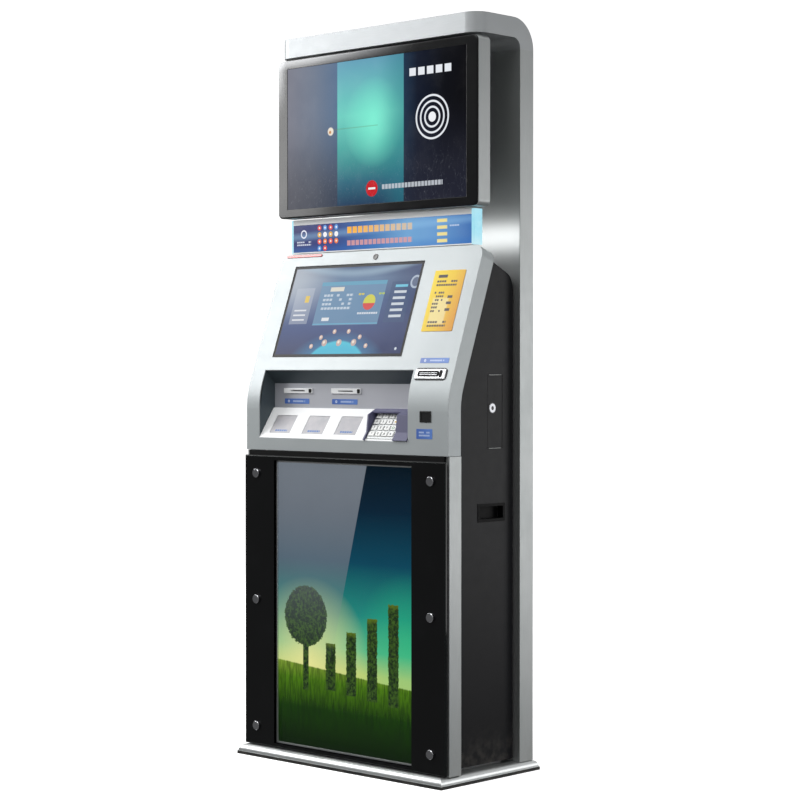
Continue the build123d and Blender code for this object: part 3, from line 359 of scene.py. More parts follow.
class RoomBoard(Board):
    """The node board of the room's own light."""

    def __init__(self, room: bpy.types.World) -> None:
        """Takes the room's own nodes."""
        self.tree = room.node_tree


class Grain(Enum):
    """Which way a surface's fine marks run, as the stretch of its pattern."""

    EVEN = (1.0, 1.0, 1.0)
    ACROSS = (0.012, 1.0, 1.0)
    UPRIGHT = (1.0, 1.0, 0.012)


@dataclass(frozen=True)
class Finish:
    """A surface as a maker would order it, with its drift, grain, edge wear and dust."""

    name: str
    base: Colour
    shade: Colour
    rough: float
    metal: float = 0.0
    grain: Grain = Grain.EVEN
    pitch: float = 900.0
    bite: float = 0.00003
    marks: float = 0.05
    worn: Optional[Colour] = None
    wear: float = 0.5
    round_over: float = 0.0012
    coat: float = 0.0
    specular: float = 0.5
    swing: float = 0.12

    def make(self) -> bpy.types.Material:
        """Builds the material, or returns the one already built."""
        ready = bpy.data.materials.get(self.name)
        if ready:
            return ready
        board = Board(self.name)
        spot = board.spot()
        drift = board.noise(spot, 2.6, 3.0)
        cloud = board.noise(spot, 38.0, 5.0, 0.6)
        threads = board.noise(board.vector("MULTIPLY", spot, self.grain.value), self.pitch, 2.0)
        soft, edge = board.rounded(self.round_over)
        colour = board.blend(drift.rise(0.3, 0.7), self.base, self.shade)
        colour = board.blend(threads.rise(0.35, 0.65) * self.marks, colour,
                             tuple(c * 0.4 for c in self.shade))
        rub = edge * cloud.rise(0.38, 0.62) * self.wear
        colour = board.blend(rub, colour, self.worn or tuple(min(1.0, c * 1.7 + 0.03) for c in self.base))
        height = board.along(spot, Vector(), Vector((0, 0, 1)))
        dust = (1.0 - height.rise(0.0, DUST_HEIGHT)) * cloud.rise(0.35, 0.75) * DUST_SHARE
        colour = board.blend(dust, colour, tone(150, 144, 134))
        rough = (cloud - 0.5) * self.swing + (threads - 0.5) * self.swing + self.rough + dust
        inputs = {"Strength": 0.7, "Distance": self.bite, "Height": threads * 0.7 + cloud * 0.3,
                  "Normal": soft}
        bump = board.node("ShaderNodeBump", {}, inputs)
        return board.surface({
            "Base Color": colour, "Roughness": rough.held(), "Metallic": self.metal, "Coat Weight": self.coat,
            "Coat Roughness": 0.06, "Specular IOR Level": self.specular, "Normal": bump.outputs[0],
        })


SATIN_ALLOY = Finish("satin_alloy_upright", tone(179, 182, 182), tone(168, 172, 172), 0.42, 0.72,
                     Grain.UPRIGHT,
                     1400.0, 0.00002, 0.10, tone(235, 237, 236), 0.55)
CROSS_ALLOY = Finish("satin_alloy_across", tone(180, 183, 185), tone(170, 174, 176), 0.48, 0.6, Grain.ACROSS,
                     1400.0, 0.00002, 0.08, tone(238, 239, 239), 0.5)
PLINTH_ALLOY = Finish("plinth_alloy", tone(206, 208, 207), tone(190, 193, 192), 0.36, 0.75, Grain.ACROSS,
                      900.0, 0.00003, 0.12, tone(240, 240, 238), 0.6)
BRUSHED_STEEL = Finish("brushed_steel", tone(138, 144, 142), tone(118, 125, 123), 0.30, 1.0, Grain.UPRIGHT,
                       1600.0, 0.00003, 0.18, tone(222, 224, 222), 0.5)
PAD_STEEL = Finish("keypad_steel", tone(188, 190, 190), tone(170, 173, 174), 0.34, 0.9, Grain.ACROSS,
                   2600.0, 0.00002, 0.15, tone(228, 229, 228), 0.6)
SILVER_PAINT = Finish("silver_paint", tone(174, 180, 181), tone(166, 172, 174), 0.46, 0.34, Grain.EVEN,
                      2200.0, 0.00002, 0.05, tone(222, 224, 226), 0.5, coat=0.12)
PANEL_SILVER = Finish("card_panel_silver", tone(188, 190, 197), tone(176, 178, 186), 0.42, 0.35, Grain.EVEN,
                      2200.0, 0.00002, 0.05, tone(225, 226, 230), 0.4)
DARK_PAINT = Finish("dark_textured_paint", tone(19, 19, 23), tone(15, 15, 18), 0.38, 0.0, Grain.EVEN,
                    1300.0, 0.00005, 0.25, tone(80, 80, 84), 0.35, specular=0.17)
LINER_PAINT = Finish("liner_paint", tone(62, 76, 82), tone(48, 60, 66), 0.46, 0.2, Grain.ACROSS,
                     1100.0, 0.00003, 0.25, tone(120, 132, 138), 0.35, specular=0.4)
FRAME_COAT = Finish("powder_coat_grey", tone(128, 130, 132), tone(112, 114, 117), 0.55, 0.0, Grain.EVEN,
                    700.0, 0.00008, 0.2, tone(170, 171, 172), 0.6)
HANDLE_BLACK = Finish("handle_black", tone(7, 7, 8), tone(4, 4, 5), 0.5, 0.0, Grain.EVEN,
                      1600.0, 0.00003, 0.2, tone(78, 78, 82), 0.5, round_over=0.0018, specular=0.12)
BLACK_PLASTIC = Finish("black_plastic", tone(26, 26, 28), tone(20, 20, 22), 0.5, 0.0, Grain.EVEN,
                       1800.0, 0.00004, 0.2, tone(70, 70, 72), 0.4, specular=0.4)
GLOSS_BLACK = Finish("gloss_black", tone(9, 9, 11), tone(6, 6, 8), 0.12, 0.0, Grain.EVEN,
                     300.0, 0.000004, 0.02, tone(40, 40, 44), 0.3, coat=0.3, specular=0.4, swing=0.05)
WHITE_PLASTIC = Finish("white_plastic", tone(240, 241, 242), tone(231, 233, 235), 0.34, 0.0, Grain.EVEN,
                       1500.0, 0.00002, 0.03, tone(250, 250, 250), 0.4)
KEY_PLASTIC = Finish("key_plastic", tone(178, 183, 180), tone(168, 173, 171), 0.36, 0.0, Grain.EVEN,
                     2400.0, 0.00002, 0.06, tone(205, 206, 200), 0.5, round_over=0.0006)
SHIELD_PLASTIC = Finish("shield_plastic", tone(31, 35, 60), tone(25, 28, 50), 0.40, 0.0, Grain.EVEN,
                        1500.0, 0.00002, 0.1, tone(110, 112, 140), 0.45, specular=0.32)
CHROME = Finish("polished_hardware", tone(176, 177, 180), tone(160, 161, 165), 0.16, 1.0, Grain.EVEN,
                1400.0, 0.000006, 0.06, tone(240, 240, 240), 0.4, round_over=0.0006, swing=0.06)
ZINC = Finish("zinc_plate", tone(176, 178, 176), tone(148, 151, 150), 0.36, 0.95, Grain.EVEN,
              160.0, 0.00003, 0.25, tone(214, 214, 210), 0.5)
PAPER = Finish("till_paper", tone(238, 237, 231), tone(228, 226, 218), 0.75, 0.0, Grain.ACROSS,
               5200.0, 0.00005, 0.12, tone(215, 212, 200), 0.3)
# Dark rubber for the gaskets; the same finish also paints the shadow line round the plinth's foot.
RUBBER_AND_SHADOW_LINE = Finish("gasket_rubber_and_shadow_line", tone(24, 24, 25), tone(18, 18, 19), 0.62, 0.0, Grain.EVEN,
                900.0, 0.00006, 0.2, tone(52, 52, 52), 0.3, round_over=0.0005)
INK = Finish("key_ink", tone(44, 46, 56), tone(34, 36, 46), 0.45, 0.0, Grain.EVEN,
             3000.0, 0.00001, 0.1, tone(90, 92, 100), 0.4, round_over=0.0002)
RED_LENS = Finish("red_lens", tone(214, 40, 38), tone(188, 24, 26), 0.22, 0.0, Grain.ACROSS,
                  900.0, 0.00001, 0.15, tone(250, 120, 110), 0.5, coat=0.6)


# ------------------------------------------------------------------ flat beds to work on


@dataclass(frozen=True)
class Bed:
    """A flat face of the kiosk that pieces lie on, with its own across, up and out directions."""

    origin: Vector
    turn: tuple[float, float, float]

    def axis(self, number: int) -> Vector:
        """One of the bed's three directions: 0 across, 1 up, 2 out."""
        return Euler(self.turn).to_matrix().col[number].copy()

    def at(self, across: float, up: float, out: float = 0.0) -> Vector:
        """A point from its distances on the bed.

        Args:
            across: Distance to the right.
            up: Distance up the bed.
            out: Height off the bed.

        Returns:
            The point in the kiosk's frame.
        """
        return self.origin + self.axis(0) * across + self.axis(1) * up + self.axis(2) * out


QUARTER = math.pi / 2
LEAN = math.radians(19.8)
SLOPE_RUN = 432 * MM
FASCIA_LOW, FASCIA_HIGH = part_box("console_fascia")
PANEL_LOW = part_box("card_panel")[0]
SLOPE = Bed(Vector((0, FASCIA_LOW.y, FASCIA_HIGH.z - SLOPE_RUN * math.cos(LEAN))), (QUARTER - LEAN, 0, 0))
APRON = Bed(Vector((0, FASCIA_LOW.y, 0)), (QUARTER, 0, 0))
CARD_WALL = Bed(Vector((0, PANEL_LOW.y, 0)), (QUARTER, 0, 0))
SHELF_RISE = 85.0 * MM
SHELF_RUN = 57.6 * MM
SHELF_LOW_EDGE = 916 * MM
SHELF_TILT = math.atan2(SHELF_RISE, SHELF_RUN)
SHELF = Bed(Vector((0, FASCIA_LOW.y, SHELF_LOW_EDGE)), (SHELF_TILT, 0, 0))
FRONT = Bed(Vector((0, 0, 0)), (QUARTER, 0, 0))
GROUND = Bed(Vector((0, 0, 0)), (0, 0, 0))
RIGHT = Bed(Vector((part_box("side_door")[1].x, 0, 0)), (QUARTER, 0, QUARTER))
REAR = Bed(Vector((0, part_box("rear_cover")[1].y, 0)), (QUARTER, 0, math.pi))


# ------------------------------------------------------------------ modelling bench


class Shop:
    """The bench that pieces are modelled on with Blender's own operators."""

    @staticmethod
    def clear() -> None:
        """Puts everything down."""
        if bpy.context.object and bpy.context.object.mode != "OBJECT":
            bpy.ops.object.mode_set(mode="OBJECT")
        bpy.ops.object.select_all(action="DESELECT")

    @staticmethod
    def settle(name: str) -> bpy.types.Object:
        """Names the active piece and puts its place into its mesh."""
        piece = bpy.context.object
        piece.name = name
        piece.data.name = name
        bpy.ops.object.transform_apply(location=True, rotation=True, scale=True)
        return piece

    @classmethod
    def block(cls, name: str, bed: Bed, centre: tuple[float, float], size: tuple[float, float], thick: float,
              lift: float = 0.0) -> bpy.types.Object:
        """Adds a block that lies on a bed.

        Args:
            name: The piece's name.
            bed: What it lies on.
            centre: Its middle, across and up the bed.
            size: Its width and height.
            thick: Its thickness.
            lift: How far its underside is off the bed.

        Returns:
            The block.
        """
        cls.clear()
        bpy.ops.mesh.primitive_cube_add(
            size=1, location=bed.at(*centre, lift + thick / 2), rotation=bed.turn, scale=(*size, thick))
        return cls.settle(name)

    @classmethod
    def rod(cls, name: str, bed: Bed, centre: tuple[float, float], radius: float, thick: float,
            lift: float = 0.0,
            sides: int = 48) -> bpy.types.Object:
        """Adds a round bar that stands on a bed.

        Args:
            name: The piece's name.
            bed: What it stands on.
            centre: Its middle, across and up the bed.
            radius: Its radius.
            thick: Its length.
            lift: How far its underside is off the bed.
            sides: How many sides it has.

        Returns:
            The bar.
        """
        cls.clear()
        bpy.ops.mesh.primitive_cylinder_add(
            vertices=sides, radius=radius, depth=thick, location=bed.at(*centre, lift + thick / 2),
            rotation=bed.turn)
        return cls.settle(name)

    @staticmethod
    def pick_faces(piece: bpy.types.Object, test: Callable[[Vector, Vector], bool]) -> None:
        """Goes to edit mode with some faces selected.

        Args:
            piece: The piece.
            test: Says from a face's middle and normal whether it is wanted.
        """
        bpy.ops.object.mode_set(mode="EDIT")
        bpy.ops.mesh.select_mode(type="FACE")
        bpy.ops.mesh.select_all(action="DESELECT")
        bpy.ops.object.mode_set(mode="OBJECT")
        for face in piece.data.polygons:
            face.select = bool(test(face.center, face.normal))
        bpy.ops.object.mode_set(mode="EDIT")

    @staticmethod
    def pick_edges(piece: bpy.types.Object, test: Callable[[Vector, Vector], bool]) -> None:
        """Goes to edit mode with some edges selected.

        Args:
            piece: The piece.
            test: Says from an edge's two ends whether it is wanted.
        """
        bpy.ops.object.mode_set(mode="EDIT")
        bpy.ops.mesh.select_mode(type="EDGE")
        bpy.ops.mesh.select_all(action="DESELECT")
        bpy.ops.object.mode_set(mode="OBJECT")
        points = piece.data.vertices
        for edge in piece.data.edges:
            edge.select = bool(test(points[edge.vertices[0]].co, points[edge.vertices[1]].co))
        bpy.ops.object.mode_set(mode="EDIT")

    @classmethod
    def round_corners(cls, piece: bpy.types.Object, bed: Bed, radius: float, steps: int = 6) -> None:
        """Rounds the corners of a block, as seen from the front of its bed.

        Args:
            piece: The block.
            bed: What it lies on.
            radius: The corner radius.
            steps: How many facets each corner has.
        """
        out = bed.axis(2)
        cls.pick_edges(piece, lambda a, b: abs((b - a).normalized().dot(out)) > 0.99)
        bpy.ops.mesh.bevel(offset=radius, offset_type="OFFSET", segments=steps, affect="EDGES")
        bpy.ops.object.mode_set(mode="OBJECT")

    @classmethod
    def ease_front(cls, piece: bpy.types.Object, bed: Bed, radius: float, steps: int = 3) -> None:
        """Rounds over the front rim of a piece.

        Args:
            piece: The piece.
            bed: What it lies on.
            radius: The size of the rounded rim.
            steps: How many facets it has.
        """
        out = bed.axis(2)
        front = max(v.co.dot(out) for v in piece.data.vertices)
        cls.pick_edges(piece, lambda a, b: a.dot(out) > front - 1e-6 and b.dot(out) > front - 1e-6)
        bpy.ops.mesh.bevel(offset=radius, offset_type="OFFSET", segments=steps, affect="EDGES")
        bpy.ops.object.mode_set(mode="OBJECT")

    @classmethod
    def sink_front(cls, piece: bpy.types.Object, bed: Bed, rim: float, depth: float) -> None:
        """Sinks the front face inside a rim.

        Args:
            piece: The piece.
            bed: What it lies on.
            rim: How wide the rim is.
            depth: How deep the face goes.
        """
        out = bed.axis(2)
        front = max(v.co.dot(out) for v in piece.data.vertices)
        cls.pick_faces(piece, lambda c, n: n.dot(out) > 0.99 and c.dot(out) > front - 1e-6)
        bpy.ops.mesh.inset(thickness=rim, depth=0.0)
        bpy.ops.mesh.extrude_region_move(TRANSFORM_OT_translate={"value": tuple(out * -depth)})
        bpy.ops.object.mode_set(mode="OBJECT")

    @classmethod
    def plate(cls, name: str, bed: Bed, centre: tuple[float, float], size: tuple[float, float], thick: float,
              corner: tuple[float, int], ease: tuple[float, int], lift: float = 0.0,
              rim: float = 0.0) -> bpy.types.Object:
        """Makes a plate with round corners and an eased front rim.

        Args:
            name: The plate's name.
            bed: What it lies on.
            centre: Its middle, across and up the bed.
            size: Its width and height.
            thick: Its thickness.
            corner: The corner radius and its facets.
            ease: The size of the rounded front rim and its facets.
            lift: How far its underside is off the bed.
            rim: If it is an open ring, how wide its rim is.

        Returns:
            The plate.
        """
        made = cls.block(name, bed, centre, size, thick, lift)
        if corner[1]:
            cls.round_corners(made, bed, *corner)
        if rim:
            cls.open_middle(made, bed, rim)
        cls.ease_front(made, bed, *ease)
        cls.smooth(made)
        return made

    @classmethod
    def open_middle(cls, piece: bpy.types.Object, bed: Bed, rim: float) -> None:
        """Cuts the middle out of a block, so that only a rim is left.

        Args:
            piece: The block.
            bed: What it lies on.
            rim: How wide the rim is.
        """
        out = bed.axis(2)
        cls.pick_faces(piece, lambda c, n: abs(n.dot(out)) > 0.99)
        bpy.ops.mesh.inset(thickness=rim, depth=0.0)
        bpy.ops.mesh.bridge_edge_loops()
        bpy.ops.object.mode_set(mode="OBJECT")

    @staticmethod
    def smooth(piece: bpy.types.Object, angle: float = 35.0) -> None:
        """Shades the rounded parts of a piece smoothly."""
        Shop.clear()
        piece.select_set(True)
        bpy.context.view_layer.objects.active = piece
        bpy.ops.object.shade_smooth_by_angle(angle=math.radians(angle))
        bpy.ops.object.modifier_add(type="WEIGHTED_NORMAL")
        piece.modifiers[-1].keep_sharp = True
        bpy.ops.object.modifier_apply(modifier=piece.modifiers[-1].name)

    @staticmethod
    def figure(name: str, mark: str, bed: Bed, centre: tuple[float, float], height: float, lift: float,
               proud: float) -> bpy.types.Object:
        """Makes a numeral or sign as a thin raised mesh.

        Args:
            name: The piece's name.
            mark: The sign.
            bed: What it lies on.
            centre: Its middle, across and up the bed.
            height: How tall it is.
            lift: How far it is off the bed.
            proud: How thick it is.

        Returns:
            The mesh.
        """
        Shop.clear()
        bpy.ops.object.text_add(location=bed.at(*centre, lift), rotation=bed.turn)
        text = bpy.context.object
        text.data.body = mark
        text.data.size = height * 1.4
        text.data.extrude = proud / 2
        text.data.resolution_u = 4
        text.data.align_x = "CENTER"
        text.data.align_y = "CENTER"
        bpy.ops.object.convert(target="MESH")
        made = Shop.settle(name)
        Shop.pick_faces(made, lambda c, n: True)
        bpy.ops.mesh.remove_doubles(threshold=0.00001)
        bpy.ops.mesh.normals_make_consistent(inside=False)
        bpy.ops.object.mode_set(mode="OBJECT")
        return made


def dress(piece: bpy.types.Object, material: bpy.types.Material, body: str = CABINET) -> None:
    """Gives a new piece its finish and its body, and reports it.

    Args:
        piece: The new piece.
        material: Its finish.
        body: The body it moves with.
    """
    piece.data.materials.clear()
    piece.data.materials.append(material)
    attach(piece, body)
    log.info("made %s on %s, %d faces", piece.name, body, len(piece.data.polygons))


def coat(finishes: dict[str, bpy.types.Material]) -> None:
    """Gives CAD nodes their finishes.

    Args:
        finishes: The material for each node.
    """
    for node, material in finishes.items():
        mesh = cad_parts[node].data
        mesh.materials.clear()
        mesh.materials.append(material)
        log.info("finished %s in %s", node, material.name)


# ------------------------------------------------------------------ drawn faces


class Canvas:
    """A picture laid out on a bed in its own metres, built up colour over colour."""

    def __init__(self, name: str, bed: Bed, corner: tuple[float, float], size: tuple[float, float]) -> None:
        """Starts a picture.

        Args:
            name: The material's name.
            bed: The face it lies on.
            corner: Its lower left corner, across and up the bed.
            size: Its width and height.
        """
        self.board = Board(name)
        self.spot = self.board.spot()
        self.width, self.height = size
        self.u = self.board.along(self.spot, bed.at(*corner), bed.axis(0))
        self.v = self.board.along(self.spot, bed.at(*corner), bed.axis(1))
        self.out = self.board.along(self.spot, bed.origin, bed.axis(2))
        self.colour: Tint = (0.0, 0.0, 0.0)

    def lay(self, mask: Value, colour: Tint) -> None:
        """Paints a colour where the mask is."""
        self.colour = self.board.blend(mask, self.colour, colour)

    def rect(self, u: float, v: float, width: float, height: float, soft: float = 0.0004) -> Sock:
        """A mask for an upright rectangle.

        Args:
            u: Its middle, across.
            v: Its middle, up.
            width: Its width.
            height: Its height.
            soft: How soft its edge is.

        Returns:
            The mask.
        """
        across = (width / 2 - abs(self.u - u)) / soft
        up = (height / 2 - abs(self.v - v)) / soft
        return across.least(up).held()

    def disc(self, u: float, v: float, radius: float, soft: float = 0.0004, squash: float = 1.0) -> Sock:
        """A mask for a disc.

        Args:
            u: Its middle, across.
            v: Its middle, up.
            radius: Its radius.
            soft: How soft its edge is.
            squash: How many times wider than tall it is.

        Returns:
            The mask.
        """
        across = (self.u - u) / squash
        up = self.v - v
        far = (across * across + up * up) ** 0.5
        return ((radius - far) / soft).held()

    def ring(self, u: float, v: float, radius: float, line: float) -> Sock:
        """A mask for a ring of a given line width."""
        return self.disc(u, v, radius) - self.disc(u, v, radius - line)

    def blocks(self, u: float, v: float, width: float, height: float, cell: float, rows: int,
               fill: float) -> Sock:
        """A mask for rows of uneven bars that stand in for print.

        Args:
            u: The left side.
            v: The lower side.
            width: How wide the rows are.
            height: How tall they are together.
            cell: How long one bar is.
            rows: How many rows there are.
            fill: How much of the bars is inked.

        Returns:
            The mask.
        """
        pitch = height / rows
        row = (self.v - v) / pitch
        place = (self.u - u) / cell
        chance = self.board.speck(self.board.join(place.floor(), row.floor(), 3.0))
        tall = abs(row.fract() - 0.5).below(0.27)
        long = abs(place.fract() - 0.5).below(0.40)
        inked = chance.below(fill) * tall * long
        return inked * self.rect(u + width / 2, v + height / 2, width, height)

    def panel(self, u: float, v: float, width: float, height: float, colour: Tint,
              share: float = 1.0) -> None:
        """Paints a rectangle placed by shares of the picture's width and height.

        Args:
            u: Its middle, across.
            v: Its middle, up.
            width: Its width.
            height: Its height.
            colour: Its colour.
            share: How strongly it covers.
        """
        mask = self.rect(self.width * u, self.height * v, self.width * width, self.height * height)
        self.lay(mask * share if share < 1.0 else mask, colour)

    def bars(self, area: tuple[float, float, float, float], cell: float, rows: int, fill: float, colour: Tint,
             share: float = 1.0) -> None:
        """Paints rows of uneven bars in an area given in shares of the picture.

        Args:
            area: Its left side, lower side, width and height.
            cell: How long one bar is, in metres.
            rows: How many rows there are.
            fill: How much of the bars is inked.
            colour: Their colour.
            share: How strongly they cover.
        """
        u, v, width, height = area
        mask = self.blocks(self.width * u, self.height * v, self.width * width, self.height * height, cell,
                           rows, fill)
        self.lay(mask * share if share < 1.0 else mask, colour)

    def printed(self, rough: float = 0.3, coat_weight: float = 0.0, metal: float = 0.0) -> bpy.types.Material:
        """Finishes the picture as print.

        Args:
            rough: The roughness.
            coat_weight: The clear coat over it.
            metal: How metallic it is.

        Returns:
            The material.
        """
        cloud = self.board.noise(self.spot, 160.0, 4.0)
        soft, edge = self.board.rounded(0.0005)
        rubbed = self.board.blend(edge * cloud * 0.4, self.colour, (0.75, 0.75, 0.74))
        bump = self.board.node("ShaderNodeBump", {}, {"Strength": 0.4, "Distance": 0.00002, "Height": cloud,
                                                      "Normal": soft})
        return self.board.surface({
            "Base Color": rubbed, "Roughness": ((cloud - 0.5) * 0.12 + rough).held(),
            "Coat Weight": coat_weight,
            "Metallic": metal, "Normal": bump.outputs[0],
        })

    def lit(self, face: float, strength: float, rough: float, specular: float) -> bpy.types.Material:
        """Finishes the picture as a lit screen behind glass, with a dark back and edges.

        Args:
            face: How far off the bed the lit face is.
            strength: How bright it is.
            rough: The glass's roughness.
            specular: The glass's gloss.

        Returns:
            The material.
        """
        smear = self.board.noise(self.spot, 14.0, 5.0, 0.6)
        board = self.board
        self.colour = board.blend(self.out.above(face - 1 * MM), (0.006, 0.006, 0.007), self.colour)
        return board.surface({
            "Base Color": board.blend(0.92, self.colour, (0.003, 0.003, 0.004)),
            "Emission Color": self.colour,
            "Emission Strength": strength, "Roughness": (smear.rise(0.35, 0.75) * 0.12 + rough).held(),
            "Specular IOR Level": specular,
        })


@dataclass
class BlueLabel:
    """A small blue instruction label with a pale sign and rows of plain bars."""

    name: str
    bed: Bed
    centre: tuple[float, float]
    size: tuple[float, float]
    thick: float = 0.6 * MM
    corner: float = 1.6 * MM
    rows: int = 1
    sign: bool = True

    def finish(self) -> bpy.types.Material:
        """Draws the label."""
        width, height = self.size
        corner = (self.centre[0] - width / 2, self.centre[1] - height / 2)
        face = Canvas(self.name, self.bed, corner, self.size)
        share = (face.u / width).held()
        face.colour = face.board.blend(share, tone(70, 104, 178), tone(92, 130, 202))
        if self.sign:
            face.lay(face.disc(width * 0.17, height * 0.5, height * 0.27), tone(206, 216, 234))
            face.lay(face.disc(width * 0.17, height * 0.5, height * 0.11), tone(70, 104, 178))
        start, reach = (0.34, 0.5) if self.sign else (0.16, 0.68)
        face.lay(face.blocks(width * start, height * 0.2, width * reach, height * 0.6,
                             height * 0.24 / self.rows ** 0.5,
                             self.rows, 0.86), tone(176, 194, 226))
        return face.printed(0.3, 0.3)

    def build(self) -> None:
        """Cuts the label, rounds it and sticks it down."""
        label = Shop.plate(self.name, self.bed, self.centre, self.size, self.thick, (self.corner, 4),
                           (self.thick * 0.4, 2))
        dress(label, self.finish())


# ------------------------------------------------------------------ sub-assemblies


@dataclass
class Base:
    """The alloy plinth that the kiosk stands on, with a dark strip round its foot as a painted shadow line.
    """

    strip_height: float = 8.4 * MM
    strip_proud: float = 1.0 * MM
    strip_thick: float = 1.8 * MM

    def build(self) -> None:
        """Makes the dark strip of painted shadow round the foot and finishes the plinth."""
        low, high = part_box("plinth")
        size = (high.x - low.x + 2 * self.strip_proud, high.y - low.y + 2 * self.strip_proud)
        middle = ((low.x + high.x) / 2, (low.y + high.y) / 2)
        # Painted shadow: a dark strip round the plinth's foot stands for the shadow line there.
        strip = Shop.plate("foot_shadow_strip", GROUND, middle, size, self.strip_height, (0.0, 0), (0.6 * MM, 2),
                           rim=self.strip_thick)
        dress(strip, RUBBER_AND_SHADOW_LINE.make())
        coat({"plinth": PLINTH_ALLOY.make()})


@dataclass
class LowerFront:
    """The lower front: black glass on stand-offs with a lit picture behind its clear window."""

    window: tuple[float, float, float, float] = (-269 * MM, 42 * MM, 269 * MM, 852 * MM)
    frame_width: float = 5 * MM
    frame_depth: float = 5 * MM
    bar_places: tuple[float, ...] = (0.40, 0.55, 0.70, 0.85)
    bar_tops: tuple[float, ...] = (0.375, 0.42, 0.475, 0.53)

    def glass(self) -> bpy.types.Material:
        """Black-printed glass with a clear window."""
        x0, z0, x1, z1 = self.window
        pane = Canvas("printed_glass", FRONT, (x0, z0), (x1 - x0, z1 - z0))
        clear = pane.rect((x1 - x0) / 2, (z1 - z0) / 2, x1 - x0, z1 - z0, 0.0006)
        board = pane.board
        smear = board.noise(pane.spot, 7.0, 5.0, 0.6).rise(0.4, 0.8)
        tint = board.blend(smear * 0.5, tone(8, 9, 10), tone(17, 18, 20))
        soft, edge = board.rounded(0.001)
        tint = board.blend(edge * 0.5, tint, tone(70, 92, 88))
        return board.surface({
            "Base Color": tint, "Roughness": (smear * 0.1 + 0.05).held(),
            "Alpha": 1.0 - clear * (0.95 - smear * 0.02),
            "Specular IOR Level": 0.3, "Normal": soft,
        })

    def picture(self) -> bpy.types.Material:
        """A plain field under a glowing sky, with a round tree, four hedges that step up and a painted
        reflection over its left.
        """
        x0, z0, x1, z1 = self.window
        width, height = x1 - x0, z1 - z0
        art = Canvas("lit_picture", FRONT, (x0, z0), (width, height))
        board, up, across = art.board, (art.v / height).held(), (art.u / width).held()
        sky = board.ramp(up, [(0.28, tone(190, 214, 120)), (0.36, tone(84, 190, 140)),
                              (0.48, tone(34, 140, 128)),
                              (0.66, tone(6, 70, 92)), (0.84, tone(2, 34, 54)), (1.0, tone(0, 18, 30))])
        glow = art.disc(width * 0.24, height * 0.3, height * 0.3, height * 0.3)
        sky = board.blend(glow * 0.85, sky, tone(246, 240, 160))
        side = art.disc(width * 0.95, height * 0.4, height * 0.24, height * 0.24)
        art.colour = board.blend(side * 0.6, sky, tone(40, 190, 130))
        blades = board.noise(board.vector("MULTIPLY", art.spot, (1.0, 1.0, 0.12)), 210.0, 3.0, 0.6)
        turf = board.ramp(up, [(0.0, tone(8, 26, 4)), (0.14, tone(26, 62, 8)), (0.24, tone(80, 128, 20)),
                               (0.31, tone(142, 172, 60))])
        turf = board.blend(blades.rise(0.35, 0.65) * 0.55, turf, tone(14, 32, 12))
        horizon = 0.3 - across * 0.05 + (blades - 0.5) * 0.006
        art.lay(((horizon - up) / 0.004).held(), turf)
        leaves = board.noise(art.spot, 130.0, 4.0, 0.7)
        hedge = board.blend(leaves.rise(0.4, 0.65), tone(26, 44, 24), tone(64, 96, 34))
        ragged = (leaves - 0.5) * 0.014
        for place, top in zip(self.bar_places, self.bar_tops):
            low = 0.21 - (place - 0.4) * 0.06
            shape = ((width * 0.037 - abs(art.u - width * place) + ragged) / 0.0012).held()
            over = ((height * top - art.v + ragged) / 0.0012).held()
            reach = over * ((art.v - height * low + ragged) / 0.002).held()
            art.lay(shape * reach, board.blend(((art.v - height * (top - 0.02)) / 0.02).held() * 0.6, hedge,
                                               tone(120, 140, 30)))
        trunk = art.rect(width * 0.215, height * 0.3, width * 0.045, height * 0.2, 0.002)
        crown_far = ((art.u - width * 0.215) ** 2.0 + (art.v - height * 0.46) ** 2.0) ** 0.5
        art.lay(trunk, hedge)
        art.lay(((width * 0.16 + ragged * 1.6 - crown_far) / 0.0015).held(), hedge)
        # Painted reflection: a pale diagonal band over the left of the picture, stronger towards the top,
        # stands for the glass's reflection.
        slant = (across - 0.40) - (up - 0.3) * 0.38
        painted_glass_reflection = ((0.0 - slant) / 0.004).held() * up.rise(0.25, 1.0) * 0.72
        art.lay(painted_glass_reflection, tone(134, 142, 152))
        return art.lit(-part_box("poster_panel")[0].y, 0.95, 0.08, 0.12)

    def build(self) -> None:
        """Makes the picture's slim frame and finishes the lower front."""
        x0, z0, x1, z1 = self.window
        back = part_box("front_glass")[1].y
        bed = Bed(Vector((0, back, 0)), FRONT.turn)
        middle = ((x0 + x1) / 2, (z0 + z1) / 2)
        size = (x1 - x0 - 1 * MM, z1 - z0 - 1 * MM)
        rim = Shop.plate("picture_frame", bed, middle, size, self.frame_depth, (0.0, 0), (0.8 * MM, 2),
                         -self.frame_depth - 0.3 * MM, rim=self.frame_width)
        dress(rim, BRUSHED_STEEL.make())
        coat({
            "front_posts": SATIN_ALLOY.make(), "front_glass": self.glass(), "standoff_screws": CHROME.make(),
            "glass_carrier": HANDLE_BLACK.make(), "poster_panel": self.picture(),
            "inner_frame": FRAME_COAT.make(),
        })


